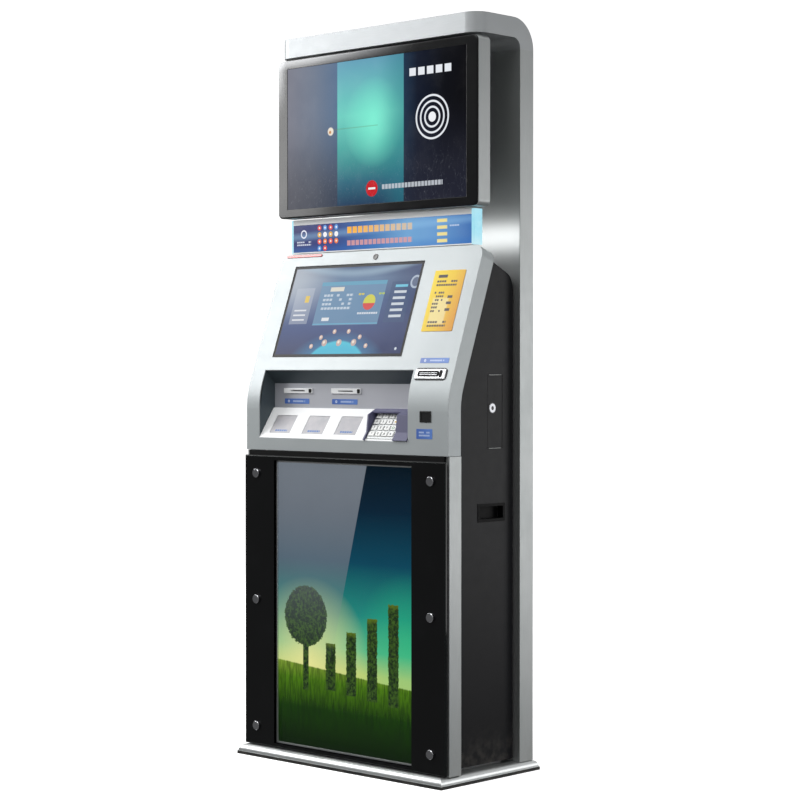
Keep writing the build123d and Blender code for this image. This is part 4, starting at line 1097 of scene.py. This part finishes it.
@dataclass
class Console:
    """The sloping console with its touch screen, camera, receipt slot, reader and signs."""

    screen_centre: tuple[float, float] = (-69 * MM, 251.5 * MM)
    screen_size: tuple[float, float] = (512 * MM, 280 * MM)
    black_rim: float = 8 * MM
    plate_centre: tuple[float, float] = (293.7 * MM, 271 * MM)
    plate_size: tuple[float, float] = (112 * MM, 178 * MM)
    plate_thick: float = 1.2 * MM
    lamp_centre: tuple[float, float] = (-299.5 * MM, 424 * MM)
    lamp_size: tuple[float, float] = (145 * MM, 8 * MM)
    receipt_centre: tuple[float, float] = (312 * MM, 59.5 * MM)
    receipt_ring: tuple[float, float] = (117 * MM, 36 * MM)
    mouth_centre: tuple[float, float] = (306 * MM, 59.5 * MM)
    mouth_size: tuple[float, float] = (76 * MM, 16 * MM)
    grip_centre: tuple[float, float] = (351 * MM, 59.5 * MM)
    grip_size: tuple[float, float] = (10 * MM, 21 * MM)
    bezel_proud: float = 4 * MM
    camera_centre: tuple[float, float] = (-8 * MM, 411 * MM)
    reader_centre: tuple[float, float] = (311 * MM, 984 * MM)

    def screen(self) -> bpy.types.Material:
        """A banking menu drawn with plain panels, bars, a pie and a fan of round buttons."""
        width = self.screen_size[0] - 2 * self.black_rim
        height = self.screen_size[1] - 2 * self.black_rim
        corner = (self.screen_centre[0] - width / 2, self.screen_centre[1] - height / 2)
        art = Canvas("menu_screen", SLOPE, corner, (width, height))
        board = art.board
        up, across = (art.v / height).held(), (art.u / width).held()
        art.colour = board.ramp(up, [(0.0, tone(10, 34, 92)), (0.3, tone(24, 62, 126)),
                                     (0.62, tone(52, 92, 146)),
                                     (0.86, tone(96, 128, 164)), (1.0, tone(44, 78, 126))])
        art.lay((1.0 - across.rise(0.0, 0.42)) * up.rise(0.3, 0.85) * 0.8, tone(196, 204, 214))
        art.lay(across.rise(0.6, 1.0) * 0.7, tone(10, 40, 100))
        sweep = abs(art.v - height * 0.93 - ((art.u - width * 0.5) ** 2.0) * 0.55)
        art.lay((1.0 - sweep.rise(0.0, 0.02)) * 0.5, tone(176, 206, 226))
        art.lay(art.disc(width * 0.5, -0.05, 0.092, 0.006, 1.35), tone(70, 224, 236))
        art.lay(art.disc(width * 0.5, -0.05, 0.12, 0.05, 1.7) * 0.55, tone(40, 160, 214))
        art.panel(0.505, 0.58, 0.52, 0.5, tone(104, 150, 186), 0.8)
        art.panel(0.505, 0.81, 0.52, 0.045, tone(84, 172, 204), 0.7)
        art.panel(0.505, 0.345, 0.52, 0.012, tone(96, 180, 214))
        art.panel(0.12, 0.56, 0.15, 0.42, tone(206, 214, 226), 0.35)
        art.panel(0.885, 0.58, 0.16, 0.46, tone(30, 72, 120), 0.6)
        art.bars((0.28, 0.5, 0.24, 0.2), 0.013, 4, 0.62, tone(214, 228, 240), 0.8)
        art.panel(0.38, 0.745, 0.11, 0.05, tone(232, 228, 214))
        art.panel(0.34, 0.4, 0.06, 0.04, tone(236, 240, 244))
        pie = art.disc(width * 0.66, height * 0.585, 0.0235)
        lower = ((height * 0.575 - art.v) / 0.0006).held()
        art.lay(pie, board.blend(lower, tone(220, 216, 52), tone(224, 52, 44)))
        art.bars((0.585, 0.44, 0.16, 0.04), 0.009, 1, 0.8, tone(222, 230, 240))
        art.bars((0.56, 0.66, 0.05, 0.04), 0.012, 1, 0.95, tone(222, 204, 70))
        art.bars((0.72, 0.66, 0.05, 0.04), 0.012, 1, 0.95, tone(180, 204, 84))
        for row in range(6):
            art.lay(art.rect(width * 0.885, height * (0.42 + row * 0.068), width * 0.095, height * 0.03),
                    tone(216, 226, 236) if row < 5 else tone(110, 206, 236))
        for row in range(3):
            art.lay(art.rect(width * 0.115, height * (0.4 + row * 0.055), width * 0.1, height * 0.02),
                    tone(230, 234, 240))
        art.panel(0.15, 0.64, 0.035, 0.08, tone(240, 206, 84))
        for turn in (-60, -38, -13, 13, 38, 60):
            swing = math.radians(turn)
            place = (width * 0.5 + math.sin(swing) * 0.125, -0.022 + math.cos(swing) * 0.092)
            art.lay(art.disc(*place, 0.0072), tone(222, 188, 172))
            art.lay(art.disc(place[0] - 0.001, place[1] + 0.0014, 0.0042, 0.002), tone(250, 240, 232))
        for place in (-0.058, 0.0, 0.058):
            art.lay(art.disc(width * 0.5 + place, 0.034, 0.0105), tone(206, 178, 170))
            art.lay(art.disc(width * 0.5 + place - 0.002, 0.036, 0.006, 0.003), tone(252, 240, 226))
        art.lay(art.disc(width * 0.955, height * 0.055, 0.0045), tone(226, 236, 248))
        art.lay(art.disc(width * 0.985, height * 0.8, 0.02) * 0.75, tone(206, 222, 240))
        art.lay(art.disc(width * 0.985, height * 0.8, 0.014) * 0.8, tone(30, 60, 110))
        inside = art.rect(width / 2, height / 2, width, height, 0.0006)
        art.colour = board.blend(inside, tone(6, 8, 14), art.colour)
        return art.lit(0.0, 0.68, 0.1, 0.1)

    def plate(self) -> bpy.types.Material:
        """A yellow instruction plate with plain bars instead of print."""
        width, height = self.plate_size
        corner = (self.plate_centre[0] - width / 2, self.plate_centre[1] - height / 2)
        art = Canvas("instruction_print", SLOPE, corner, self.plate_size)
        share = ((art.u / width) * 0.8 + (1.0 - art.v / height) * 0.3).held()
        art.colour = art.board.ramp(share, [(0.0, tone(236, 208, 44)), (0.55, tone(226, 188, 22)),
                                            (1.0, tone(212, 146, 8))])
        art.lay(art.rect(width * 0.40, height * 0.33, width * 0.56, height * 0.46, 0.006) * 0.7,
                tone(228, 216, 160))
        ink = tone(58, 50, 52)
        art.panel(0.30, 0.90, 0.30, 0.052, ink)
        art.bars((0.14, 0.725, 0.66, 0.12), 0.0085, 2, 0.84, ink)
        art.bars((0.14, 0.30, 0.32, 0.36), 0.0075, 6, 0.55, ink)
        art.bars((0.14, 0.06, 0.60, 0.12), 0.009, 2, 0.8, ink)
        for place in (0.56, 0.46, 0.35):
            art.lay(art.rect(width * 0.68, height * place, width * 0.16, height * 0.045), ink)
        return art.printed(0.48)

    def receipt_finish(self) -> bpy.types.Material:
        """Polished silver for the receipt slot's bezel."""
        return Finish("bezel_silver", tone(232, 233, 235), tone(216, 218, 221), 0.22, 0.55, Grain.ACROSS,
                      1500.0,
                      0.00001, 0.06, tone(250, 250, 250), 0.4, round_over=0.0007).make()

    def build_signs(self) -> None:
        """Makes the instruction plate, the blue labels and the red status lamp."""
        sign = Shop.plate("instruction_plate", SLOPE, self.plate_centre, self.plate_size, self.plate_thick,
                          (3 * MM, 5), (0.5 * MM, 2))
        dress(sign, self.plate())
        BlueLabel("receipt_label", SLOPE, (314 * MM, 98.5 * MM), (104 * MM, 15 * MM)).build()
        BlueLabel("reader_label", APRON, (307 * MM, 938 * MM), (58 * MM, 27 * MM), rows=2, sign=False).build()
        lamp = Shop.plate("status_lamp", SLOPE, self.lamp_centre, self.lamp_size, 2.4 * MM, (3.4 * MM, 5),
                          (1.2 * MM, 3))
        dress(lamp, RED_LENS.make())

    def build_mouth(self) -> None:
        """Makes the black lip of the receipt mouth and the grip at its right."""
        lip = Shop.plate("receipt_mouth", SLOPE, self.mouth_centre, self.mouth_size, 1.4 * MM, (5 * MM, 6),
                         (0.4 * MM, 2), self.bezel_proud, rim=4.6 * MM)
        dress(lip, HANDLE_BLACK.make())
        grip = Shop.plate("receipt_grip", SLOPE, self.grip_centre, self.grip_size, 1.2 * MM, (4 * MM, 6),
                          (0.5 * MM, 2), self.bezel_proud)
        dress(grip, HANDLE_BLACK.make())

    def build_gaskets(self) -> None:
        """Makes the rubber round the receipt bezel and screen, and the camera's ring."""
        ring = Shop.plate("receipt_gasket", SLOPE, self.receipt_centre, self.receipt_ring, 1.0 * MM,
                          (12 * MM, 8), (0.4 * MM, 2), rim=4.5 * MM)
        dress(ring, RUBBER_AND_SHADOW_LINE.make())
        seal = Shop.block("screen_gasket", SLOPE, self.screen_centre,
                          (self.screen_size[0] + 1.6 * MM, self.screen_size[1] + 1.6 * MM), 0.9 * MM,
                          -0.5 * MM)
        Shop.open_middle(seal, SLOPE, 2.2 * MM)
        Shop.ease_front(seal, SLOPE, 0.3 * MM, 2)
        dress(seal, RUBBER_AND_SHADOW_LINE.make())
        eye = Shop.rod("camera_ring", SLOPE, self.camera_centre, 9.2 * MM, 1.6 * MM)
        Shop.sink_front(eye, SLOPE, 2.2 * MM, 1.0 * MM)
        Shop.ease_front(eye, SLOPE, 0.4 * MM, 2)
        Shop.smooth(eye)
        dress(eye, GLOSS_BLACK.make())

    def build(self) -> None:
        """Builds the console's signs and gaskets, and finishes its CAD parts."""
        self.build_signs()
        self.build_mouth()
        self.build_gaskets()
        coat({
            "console_fascia": SILVER_PAINT.make(), "console_hood": DARK_PAINT.make(),
            "touch_screen": self.screen(),
            "camera": GLOSS_BLACK.make(), "receipt_bezel": self.receipt_finish(),
            "fingerprint_reader": GLOSS_BLACK.make(), "receipt_printer": BLACK_PLASTIC.make(),
            "paper_roll": PAPER.make(),
        })


@dataclass
class Recess:
    """The recess with the card slots above a sloping shelf."""

    tiles: tuple[float, ...] = (-267 * MM, -134 * MM, -4.5 * MM)
    tile_up: float = 46.5 * MM
    tile_size: tuple[float, float] = (82.6 * MM, 59.6 * MM)
    slots: tuple[float, ...] = (-242 * MM, -48.6 * MM)
    slot_height: float = 1050 * MM
    label_height: float = 1020 * MM
    label_size: tuple[float, float] = (101 * MM, 15 * MM)

    def tile_finish(self, name: str, place: float) -> bpy.types.Material:
        """A pale tile with a thin outline and a row of blue bars along its lower edge."""
        width, height = self.tile_size
        art = Canvas(name, SHELF, (place - width / 2, self.tile_up - height / 2), self.tile_size)
        mottle = art.board.noise(art.spot, 45.0, 4.0)
        art.colour = art.board.blend(mottle.rise(0.3, 0.7), tone(176, 174, 177), tone(162, 162, 167))
        outer = art.rect(width / 2, height / 2, width - 4 * MM, height - 4 * MM)
        inner = art.rect(width / 2, height / 2, width - 5.6 * MM, height - 5.6 * MM)
        art.lay((outer - inner) * 0.6, tone(150, 152, 158))
        art.lay(art.blocks(width * 0.22, 3.5 * MM, width * 0.6, 11 * MM, 9 * MM, 1, 0.9), tone(70, 108, 166))
        return art.printed(0.42, 0.0, 0.1)

    def build(self) -> None:
        """Makes the tiles, slot windows and labels, and finishes the recess."""
        for number, place in enumerate(self.tiles, 1):
            name = f"shelf_tile_{number}"
            tile = Shop.plate(name, SHELF, (place, self.tile_up), self.tile_size, 1.6 * MM, (2 * MM, 4),
                              (0.4 * MM, 2), -2.5 * MM)
            dress(tile, self.tile_finish(name, place))
        for side, place in zip(("left", "right"), self.slots):
            BlueLabel(f"card_label_{side}", CARD_WALL, (place - 6.5 * MM, self.label_height),
                      self.label_size).build()
            bezel = Bed(Vector((0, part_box("card_readers")[0].y, 0)), CARD_WALL.turn)
            lens = Shop.plate(f"card_lens_{side}", bezel, (place + 51 * MM, self.slot_height),
                              (11 * MM, 12 * MM), 2.2 * MM, (2.5 * MM, 5), (0.8 * MM, 3), -1.2 * MM)
            dress(lens, GLOSS_BLACK.make())
        coat({
            "recess_liner": LINER_PAINT.make(), "card_panel": PANEL_SILVER.make(),
            "keypad_shelf": WHITE_PLASTIC.make(),
            "card_readers": WHITE_PLASTIC.make(),
        })


class KeyMark(Enum):
    """What a function key carries."""

    STOP = "stop"
    BACK = "back"
    ENTER = "enter"
    PLAIN = "plain"


@dataclass
class Keypad:
    """The PIN pad under its privacy shield: sixteen keys with numerals and coloured signs."""

    centre: tuple[float, float] = (138 * MM, 50 * MM)
    pitch: tuple[float, float] = (24 * MM, 19.5 * MM)
    key_top: float = 4.1 * MM
    ink_proud: float = 0.35 * MM
    figure_height: float = 7.5 * MM
    marks: tuple[object, ...] = ("1", "2", "3", KeyMark.STOP, "4", "5", "6", KeyMark.BACK, "7", "8", "9",
                                 KeyMark.ENTER,
                                 "*", "0", "#", KeyMark.PLAIN)

    def place(self, number: int) -> tuple[float, float]:
        """A key's middle on the shelf, counted from the upper left."""
        row, column = divmod(number, 4)
        return (self.centre[0] + (column - 1.5) * self.pitch[0], self.centre[1] - (row - 1.5) * self.pitch[1])

    def sign(self, name: str, mark: KeyMark, place: tuple[float, float]) -> bpy.types.Object:
        """Models a function key's sign.

        Args:
            name: The piece's name.
            mark: Which sign it is.
            place: The key's middle.

        Returns:
            The sign.
        """
        size = {KeyMark.STOP: (11, 3), KeyMark.BACK: (8, 5), KeyMark.ENTER: (9, 9),
                KeyMark.PLAIN: (5, 5)}[mark]
        flag = Shop.block(name, SHELF, place, (size[0] * MM, size[1] * MM), self.ink_proud, self.key_top)
        radius = {KeyMark.STOP: 1.2, KeyMark.BACK: 1.0, KeyMark.ENTER: 4.2, KeyMark.PLAIN: 2.2}[mark]
        Shop.round_corners(flag, SHELF, radius * MM, 5)
        if mark is KeyMark.ENTER:
            Shop.open_middle(flag, SHELF, 1.6 * MM)
        return flag

    def sign_finish(self, mark: KeyMark) -> bpy.types.Material:
        """The printed colour of a function sign."""
        ink = {KeyMark.STOP: (200, 44, 44), KeyMark.BACK: (226, 186, 40), KeyMark.ENTER: (44, 150, 84),
               KeyMark.PLAIN: (110, 118, 132)}[mark]
        return Finish(f"sign_{mark.value}", tone(*ink), tone(*(part * 9 // 10 for part in ink)), 0.4,
                      pitch=3000.0,
                      bite=0.00001, round_over=0.0002).make()

    def build(self) -> None:
        """Makes the sixteen marks and finishes the pad."""
        for number, mark in enumerate(self.marks):
            body = f"key_{number + 1:02d}"
            name = f"mark_{number + 1:02d}"
            if isinstance(mark, KeyMark):
                dress(self.sign(name, mark, self.place(number)), self.sign_finish(mark), body)
            else:
                lift = self.key_top + self.ink_proud / 2
                made = Shop.figure(name, mark, SHELF, self.place(number), self.figure_height, lift,
                                   self.ink_proud)
                dress(made, INK.make(), body)
            coat({body: KEY_PLASTIC.make()})
        coat({"pinpad_housing": PAD_STEEL.make(), "pinpad_shield": SHIELD_PLASTIC.make()})


@dataclass
class Banner:
    """The lit banner box between the console and the upper display."""

    disc_rows: int = 4

    def picture(self) -> bpy.types.Material:
        """Plain discs and bars on a blue ground."""
        low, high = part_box("banner_face")
        width, height = high.x - low.x, high.z - low.z
        art = Canvas("banner_picture", FRONT, (low.x, low.z), (width, height))
        board, across, up = art.board, (art.u / width).held(), (art.v / height).held()
        art.colour = board.ramp(across, [(0.0, tone(22, 30, 96)), (0.22, tone(26, 44, 118)),
                                         (0.42, tone(52, 104, 168)),
                                         (0.66, tone(112, 164, 210)), (0.82, tone(104, 154, 206)),
                                         (1.0, tone(66, 112, 176))])
        art.lay((1.0 - up.rise(0.0, 0.35)) * 0.4, tone(40, 110, 190))
        streak = abs(up - 0.55 - across * 0.3)
        art.lay((1.0 - streak.rise(0.0, 0.22)) * 0.3, tone(150, 200, 236))
        step = height / self.disc_rows
        tints = ((222, 62, 56), (238, 120, 40), (240, 240, 246), (90, 150, 220), (232, 84, 60),
                 (228, 172, 60))
        for row in range(self.disc_rows):
            for column in range(4):
                if row == self.disc_rows - 1 and column > 1:
                    continue
                place = (width * (0.155 + column * 0.033), height - step * (row + 0.55))
                art.lay(art.disc(*place, step * 0.40), tone(*tints[(row * 5 + column * 3) % len(tints)]))
                art.lay(art.disc(place[0], place[1], step * 0.16), tone(240, 236, 230))
        art.lay(art.ring(width * 0.062, height * 0.66, height * 0.16, height * 0.05), tone(226, 230, 242))
        art.bars((0.02, 0.22, 0.085, 0.2), 0.008, 2, 0.85, tone(220, 226, 240), 0.8)
        art.lay(art.blocks(width * 0.315, height * 0.5, width * 0.37, height * 0.44, 0.0215, 1, 1.1),
                board.blend(across.rise(0.3, 0.7), tone(246, 176, 50), tone(206, 190, 172)))
        art.bars((0.315, 0.08, 0.37, 0.34), 0.017, 1, 1.1, tone(226, 158, 150), 0.75)
        for row in range(4):
            art.lay(art.rect(width * 0.845, height * (0.14 + row * 0.235), width * 0.055, height * 0.13,
                             0.001),
                    tone(236, 220, 150))
        art.bars((0.885, 0.6, 0.05, 0.1), 0.006, 1, 0.8, tone(220, 232, 246), 0.6)
        return art.lit(-low.y, 0.93, 0.16, 0.2)

    def glow(self) -> bpy.types.Material:
        """Edge-lit acrylic for the banner's ends."""
        art = Canvas("cyan_edge_light", FRONT, (-1.0, 1.4), (2.0, 0.2))
        wave = art.board.noise(art.spot, 22.0, 3.0).rise(0.3, 0.7)
        height = art.board.along(art.spot, Vector((0, 0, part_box("banner_ends")[0].z)), Vector((0, 0, 1)))
        art.colour = art.board.blend(wave * 0.6, tone(156, 228, 249), tone(196, 243, 252))
        art.lay((1.0 - height.rise(0.0, 0.03)) * 0.5, tone(216, 246, 252))
        return art.lit(-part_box("banner_ends")[1].y, 0.85, 0.25, 0.3)

    def build(self) -> None:
        """Finishes the banner box."""
        coat({"banner_housing": WHITE_PLASTIC.make(), "banner_face": self.picture(),
              "banner_ends": self.glow()})


@dataclass
class Display:
    """The upper wide display in its silver case."""

    def picture(self) -> bpy.types.Material:
        """A soft teal band between a grey and a dark side, with plain rings and bars."""
        bezel_low, bezel_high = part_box("display_bezel")
        middle = ((bezel_low.x + bezel_high.x) / 2, (bezel_low.z + bezel_high.z) / 2)
        width, height = 698.4 * MM, 410 * MM
        art = Canvas("display_picture", FRONT, (middle[0] - width / 2, middle[1] - height / 2),
                     (width, height))
        board, across, up = art.board, (art.u / width).held(), (art.v / height).held()
        ground = board.ramp(across, [(0.0, tone(104, 106, 120)), (0.16, tone(98, 110, 130)),
                                     (0.3, tone(82, 108, 138)),
                                     (0.62, tone(34, 60, 86)), (0.74, tone(10, 20, 38)),
                                     (0.88, tone(2, 4, 11)), (1.0, tone(0, 0, 2))])
        art.colour = board.blend((1.0 - up.rise(0.0, 0.7)) * 0.8, ground, tone(34, 36, 50))
        band = ((across - 0.292) / 0.004).held() * ((0.668 - across) / 0.004).held()
        teal = board.ramp(up, [(0.0, tone(34, 62, 92)), (0.16, tone(48, 108, 128)), (0.4, tone(78, 176, 166)),
                               (0.62, tone(110, 214, 196)), (1.0, tone(104, 166, 190))])
        art.lay(band * 0.85, teal)
        art.lay(art.disc(width * 0.5, height * 0.56, 0.13, 0.12, 0.9) * 0.75, tone(132, 246, 216))
        art.lay(band * across.rise(0.5, 0.68) * 0.55, tone(40, 118, 132))
        art.lay(art.rect(width * 0.39, height * 0.535, width * 0.27, height * 0.012, 0.003) * 0.5,
                tone(96, 120, 66))
        art.lay(art.disc(width * 0.255, height * 0.525, 0.013, 0.003), tone(232, 222, 206))
        art.lay(art.disc(width * 0.252, height * 0.52, 0.006, 0.003), tone(190, 128, 66))
        for radius in (0.062, 0.046, 0.03):
            art.lay(art.ring(width * 0.82, height * 0.55, radius, 0.0055), tone(226, 230, 236))
        art.lay(art.disc(width * 0.82, height * 0.55, 0.014), tone(236, 238, 242))
        for number in range(5):
            art.lay(art.rect(width * (0.715 + number * 0.047), height * 0.865, width * 0.036, height * 0.055,
                             0.001),
                    tone(226, 230, 236))
        art.lay(art.disc(width * 0.49, height * 0.105, 0.023), tone(196, 28, 36))
        art.lay(art.rect(width * 0.49, height * 0.105, 0.028, 0.006), tone(236, 240, 240))
        art.bars((0.545, 0.08, 0.33, 0.06), 0.0125, 1, 0.9, tone(196, 202, 210), 0.8)
        scratch = board.noise(board.vector("MULTIPLY", art.spot, (1.0, 1.0, 0.35)), 60.0, 2.0)
        art.lay((1.0 - abs(scratch - 0.5).rise(0.0, 0.006)) * (1.0 - up.rise(0.1, 0.5)) * 0.12,
                tone(190, 196, 206))
        return art.lit(-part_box("display_screen")[0].y, 0.95, 0.1, 0.08)

    def bezel(self) -> bpy.types.Material:
        """Gloss black with a painted reflection: a pale shine over its upper left edge."""
        low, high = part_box("display_bezel")
        art = Canvas("display_bezel_gloss", FRONT, (low.x, low.z), (high.x - low.x, high.z - low.z))
        board = art.board
        across, up = (art.u / (high.x - low.x)).held(), (art.v / (high.z - low.z)).held()
        smear = board.noise(art.spot, 16.0, 4.0)
        # Painted reflection: a pale shine over the upper left of the bezel.
        pale = (1.0 - across.rise(0.0, 0.05)) * up.rise(0.62, 1.0) + up.rise(0.93,
                                                                             1.0) * (1.0 - across.rise(0.1,
                                                                                                       0.75))
        tint = board.blend((pale * 0.8).held(), tone(6, 7, 9), tone(206, 208, 210))
        soft, edge = board.rounded(0.002)
        tint = board.blend(edge * 0.35, tint, tone(120, 122, 124))
        return board.surface({
            "Base Color": tint, "Roughness": (smear * 0.08 + 0.1).held(), "Specular IOR Level": 0.3,
            "Normal": soft,
            "Coat Weight": 0.05,
        })

    def build(self) -> None:
        """Finishes the display."""
        coat({
            "display_casing": SATIN_ALLOY.make(), "display_bezel": self.bezel(),
            "display_screen": self.picture(),
            "display_bracket": FRAME_COAT.make(),
        })


@dataclass
class Column:
    """The rear column and canopy, with the rear cover and its fixings."""

    plate_centre: tuple[float, float] = (0.0, 1.52)
    plate_size: tuple[float, float] = (120 * MM, 76 * MM)

    def plate_finish(self) -> bpy.types.Material:
        """A plain stamped data plate with empty boxes."""
        width, height = self.plate_size
        art = Canvas("rear_plate_print", REAR, (self.plate_centre[0] - width / 2,
                                                self.plate_centre[1] - height / 2),
                     self.plate_size)
        art.colour = art.board.blend(art.board.noise(art.spot, 90.0, 3.0), tone(196, 198, 198),
                                     tone(176, 178, 179))
        art.lay(art.rect(width / 2, height * 0.84, width * 0.88, height * 0.14), tone(70, 74, 80))
        for row in range(4):
            art.lay(art.rect(width * 0.5, height * (0.16 + row * 0.16), width * 0.88, height * 0.012),
                    tone(90, 94, 98))
        art.panel(0.38, 0.4, 0.01, 0.6, tone(90, 94, 98))
        return art.printed(0.34, 0.0, 0.6)

    def build(self) -> None:
        """Makes the rear data plate and finishes the column."""
        plate = Shop.plate("rear_plate", REAR, self.plate_centre, self.plate_size, 1.0 * MM, (4 * MM, 5),
                           (0.4 * MM, 2))
        dress(plate, self.plate_finish())
        coat({
            "column_core": FRAME_COAT.make(), "column_face": BRUSHED_STEEL.make(),
            "side_trims": SATIN_ALLOY.make(),
            "rear_cover": FRAME_COAT.make(), "rear_cover_screws": ZINC.make(),
            "cable_gland": BLACK_PLASTIC.make(),
            "canopy_housing": CROSS_ALLOY.make(),
        })


@dataclass
class Sides:
    """The dark side panels, the service door with its pull handle, and the small lock door."""

    lock_ring_radius: float = 15.2 * MM
    tick_size: tuple[float, float] = (50 * MM, 1.6 * MM)

    def build(self) -> None:
        """Makes the lock's collar and the door ticks, and finishes the sides."""
        low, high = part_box("lock_barrel")
        door_low, door_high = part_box("access_door")
        middle = ((low.y + high.y) / 2, (low.z + high.z) / 2)
        face = Bed(Vector((door_high.x, 0, 0)), RIGHT.turn)
        collar = Shop.rod("lock_collar", face, middle, self.lock_ring_radius, 1.2 * MM)
        Shop.ease_front(collar, face, 0.6 * MM, 2)
        Shop.smooth(collar)
        dress(collar, BLACK_PLASTIC.make(), "access_door")
        across = (door_low.y + door_high.y) / 2
        for name, height in (("upper", door_high.z - 6 * MM), ("lower", door_low.z + 6 * MM)):
            tick = Shop.plate(f"door_pull_{name}", face, (across, height), self.tick_size, 1.4 * MM,
                              (0.7 * MM, 4), (0.5 * MM, 2))
            dress(tick, ZINC.make(), "access_door")
        coat({
            "side_panel_left": DARK_PAINT.make(), "side_door": DARK_PAINT.make(), "door_hinges": ZINC.make(),
            "pull_handle": HANDLE_BLACK.make(), "access_door": DARK_PAINT.make(),
            "lock_barrel": CHROME.make(),
            "lock_plug": GLOSS_BLACK.make(),
        })


@dataclass
class Inside:
    """The computer and its fan."""

    def build(self) -> None:
        """Finishes what the cabinet holds."""
        coat({"computer_unit": FRAME_COAT.make(), "fan_rotor": BLACK_PLASTIC.make()})


# ------------------------------------------------------------------ studio


@dataclass(frozen=True)
class Softbox:
    """One soft light: where it hangs, what it points at, its size and its power."""

    name: str
    place: tuple[float, float, float]
    aim: tuple[float, float, float]
    width: float
    height: float
    power: float

    def hang(self) -> None:
        """Adds the light."""
        lamp = bpy.data.lights.new(self.name, "AREA")
        lamp.shape = "RECTANGLE"
        lamp.size, lamp.size_y, lamp.energy = self.width, self.height, self.power
        stand = bpy.data.objects.new(self.name, lamp)
        stand.location = self.place
        stand.rotation_euler = (Vector(self.aim) - Vector(self.place)).to_track_quat("-Z", "Y").to_euler()
        stand.visible_camera = False
        bpy.context.scene.collection.objects.link(stand)


@dataclass
class Studio:
    """A pale floor and backdrop, soft lights and the camera."""

    eye: tuple[float, float, float] = (4.12183, -4.30300, 1.10563)
    aim: tuple[float, float, float] = (89.22, 0.0, 43.37)
    lens: float = 94.744
    sensor: float = 36.0
    lights: tuple[Softbox, ...] = (
        Softbox("left_tall_softbox", (-3.85, -1.98, 3.05), (-0.16, 0.56, 3.05), 2.4, 2.6, 150.0),
        Softbox("top_front_softbox", (0.3, -2.4, 4.3), (0.0, 0.0, 1.3), 2.4, 2.0, 60.0),
        Softbox("right_rear_softbox", (3.6, 3.6, 0.9), (0.3, 0.1, 0.8), 3.0, 2.2, 44.0),
        Softbox("right_fill_softbox", (4.4, -1.2, 0.9), (0.3, 0.0, 0.8), 1.6, 1.4, 24.0),
        Softbox("banner_spill", (0.0, 0.02, 1.485), (0.0, 0.13, 1.475), 0.7, 0.06, 0.35),
        Softbox("rear_left_softbox", (-2.8, 4.2, 2.6), (0.0, 0.2, 1.1), 2.6, 2.6, 60.0),
    )

    room_levels: tuple[tuple[float, float], ...] = ((0.0, 0.26), (0.5, 0.17), (1.0, 1.0))

    @staticmethod
    def only_seen(piece: bpy.types.Object) -> None:
        """Keeps a stage piece from lighting the kiosk or showing in its gloss."""
        piece.visible_diffuse = False
        piece.visible_glossy = False
        piece.visible_transmission = False
        piece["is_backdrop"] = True

    @staticmethod
    def pale(name: str, shine: float) -> bpy.types.Material:
        """A pale stage material.

        Args:
            name: Its name.
            shine: How much light of its own it has.

        Returns:
            The material.
        """
        board = Board(name)
        tint = board.blend(board.noise(board.spot(), 0.8, 3.0), (0.88, 0.88, 0.88), (0.9, 0.9, 0.9))
        return board.surface({"Base Color": tint, "Roughness": 0.6, "Specular IOR Level": 0.1,
                              "Emission Color": (1.0, 1.0, 1.0), "Emission Strength": shine})

    def floor(self) -> None:
        """Lays the floor and hangs the backdrop round it."""
        Shop.clear()
        bpy.ops.mesh.primitive_circle_add(vertices=96, radius=60, fill_type="NGON",
                                          location=(0, 0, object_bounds()[0].z))
        ground = Shop.settle("studio_floor")
        ground.data.materials.append(self.pale("studio_floor", 0.62))
        self.only_seen(ground)
        Shop.clear()
        bpy.ops.mesh.primitive_uv_sphere_add(segments=48, ring_count=24, radius=62)
        dome = Shop.settle("studio_backdrop")
        Shop.smooth(dome)
        dome.visible_shadow = False
        dome.data.materials.append(self.pale("studio_backdrop", 0.86))
        self.only_seen(dome)

    def light(self) -> None:
        """Hangs the soft lights and sets the room's own light, brighter overhead."""
        for softbox in self.lights:
            softbox.hang()
        room = bpy.data.worlds.new("studio")
        room.use_nodes = True
        board = RoomBoard(room)
        place = board.node("ShaderNodeTexCoord", {}, {}).outputs["Generated"]
        height = board.node("ShaderNodeSeparateXYZ", {}, {0: place}).outputs["Z"]
        share = board.node("ShaderNodeMapRange", {}, {"Value": height, "From Min": -1.0}).outputs[0]
        stops = [(place, (level, level, level)) for place, level in self.room_levels]
        board.feed(room.node_tree.nodes["Background"].inputs[0], board.ramp(Sock(board, share), stops))
        bpy.context.scene.world = room
        bpy.context.scene.view_settings.view_transform = "Standard"

    def camera(self) -> None:
        """Places the camera."""
        eye = bpy.data.cameras.new("studio_camera")
        eye.lens, eye.sensor_width = self.lens, self.sensor
        eye.clip_end = 300.0
        stand = bpy.data.objects.new("studio_camera", eye)
        stand.location = self.eye
        stand.rotation_euler = tuple(math.radians(part) for part in self.aim)
        bpy.context.scene.collection.objects.link(stand)
        bpy.context.scene.camera = stand

    def build(self) -> None:
        """Sets up the studio."""
        self.floor()
        self.light()
        self.camera()


def main() -> None:
    """Builds the kiosk's looks round the CAD frame, sub-assembly by sub-assembly."""
    logging.basicConfig(level=logging.INFO, format="%(name)s: %(message)s")
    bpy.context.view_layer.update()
    for part in (Base(), LowerFront(), Console(), Recess(), Keypad(), Banner(), Display(), Column(), Sides(),
                 Inside()):
        log.info("building %s", type(part).__name__)
        part.build()
    Studio().build()


if __name__ == "__main__":
    main()
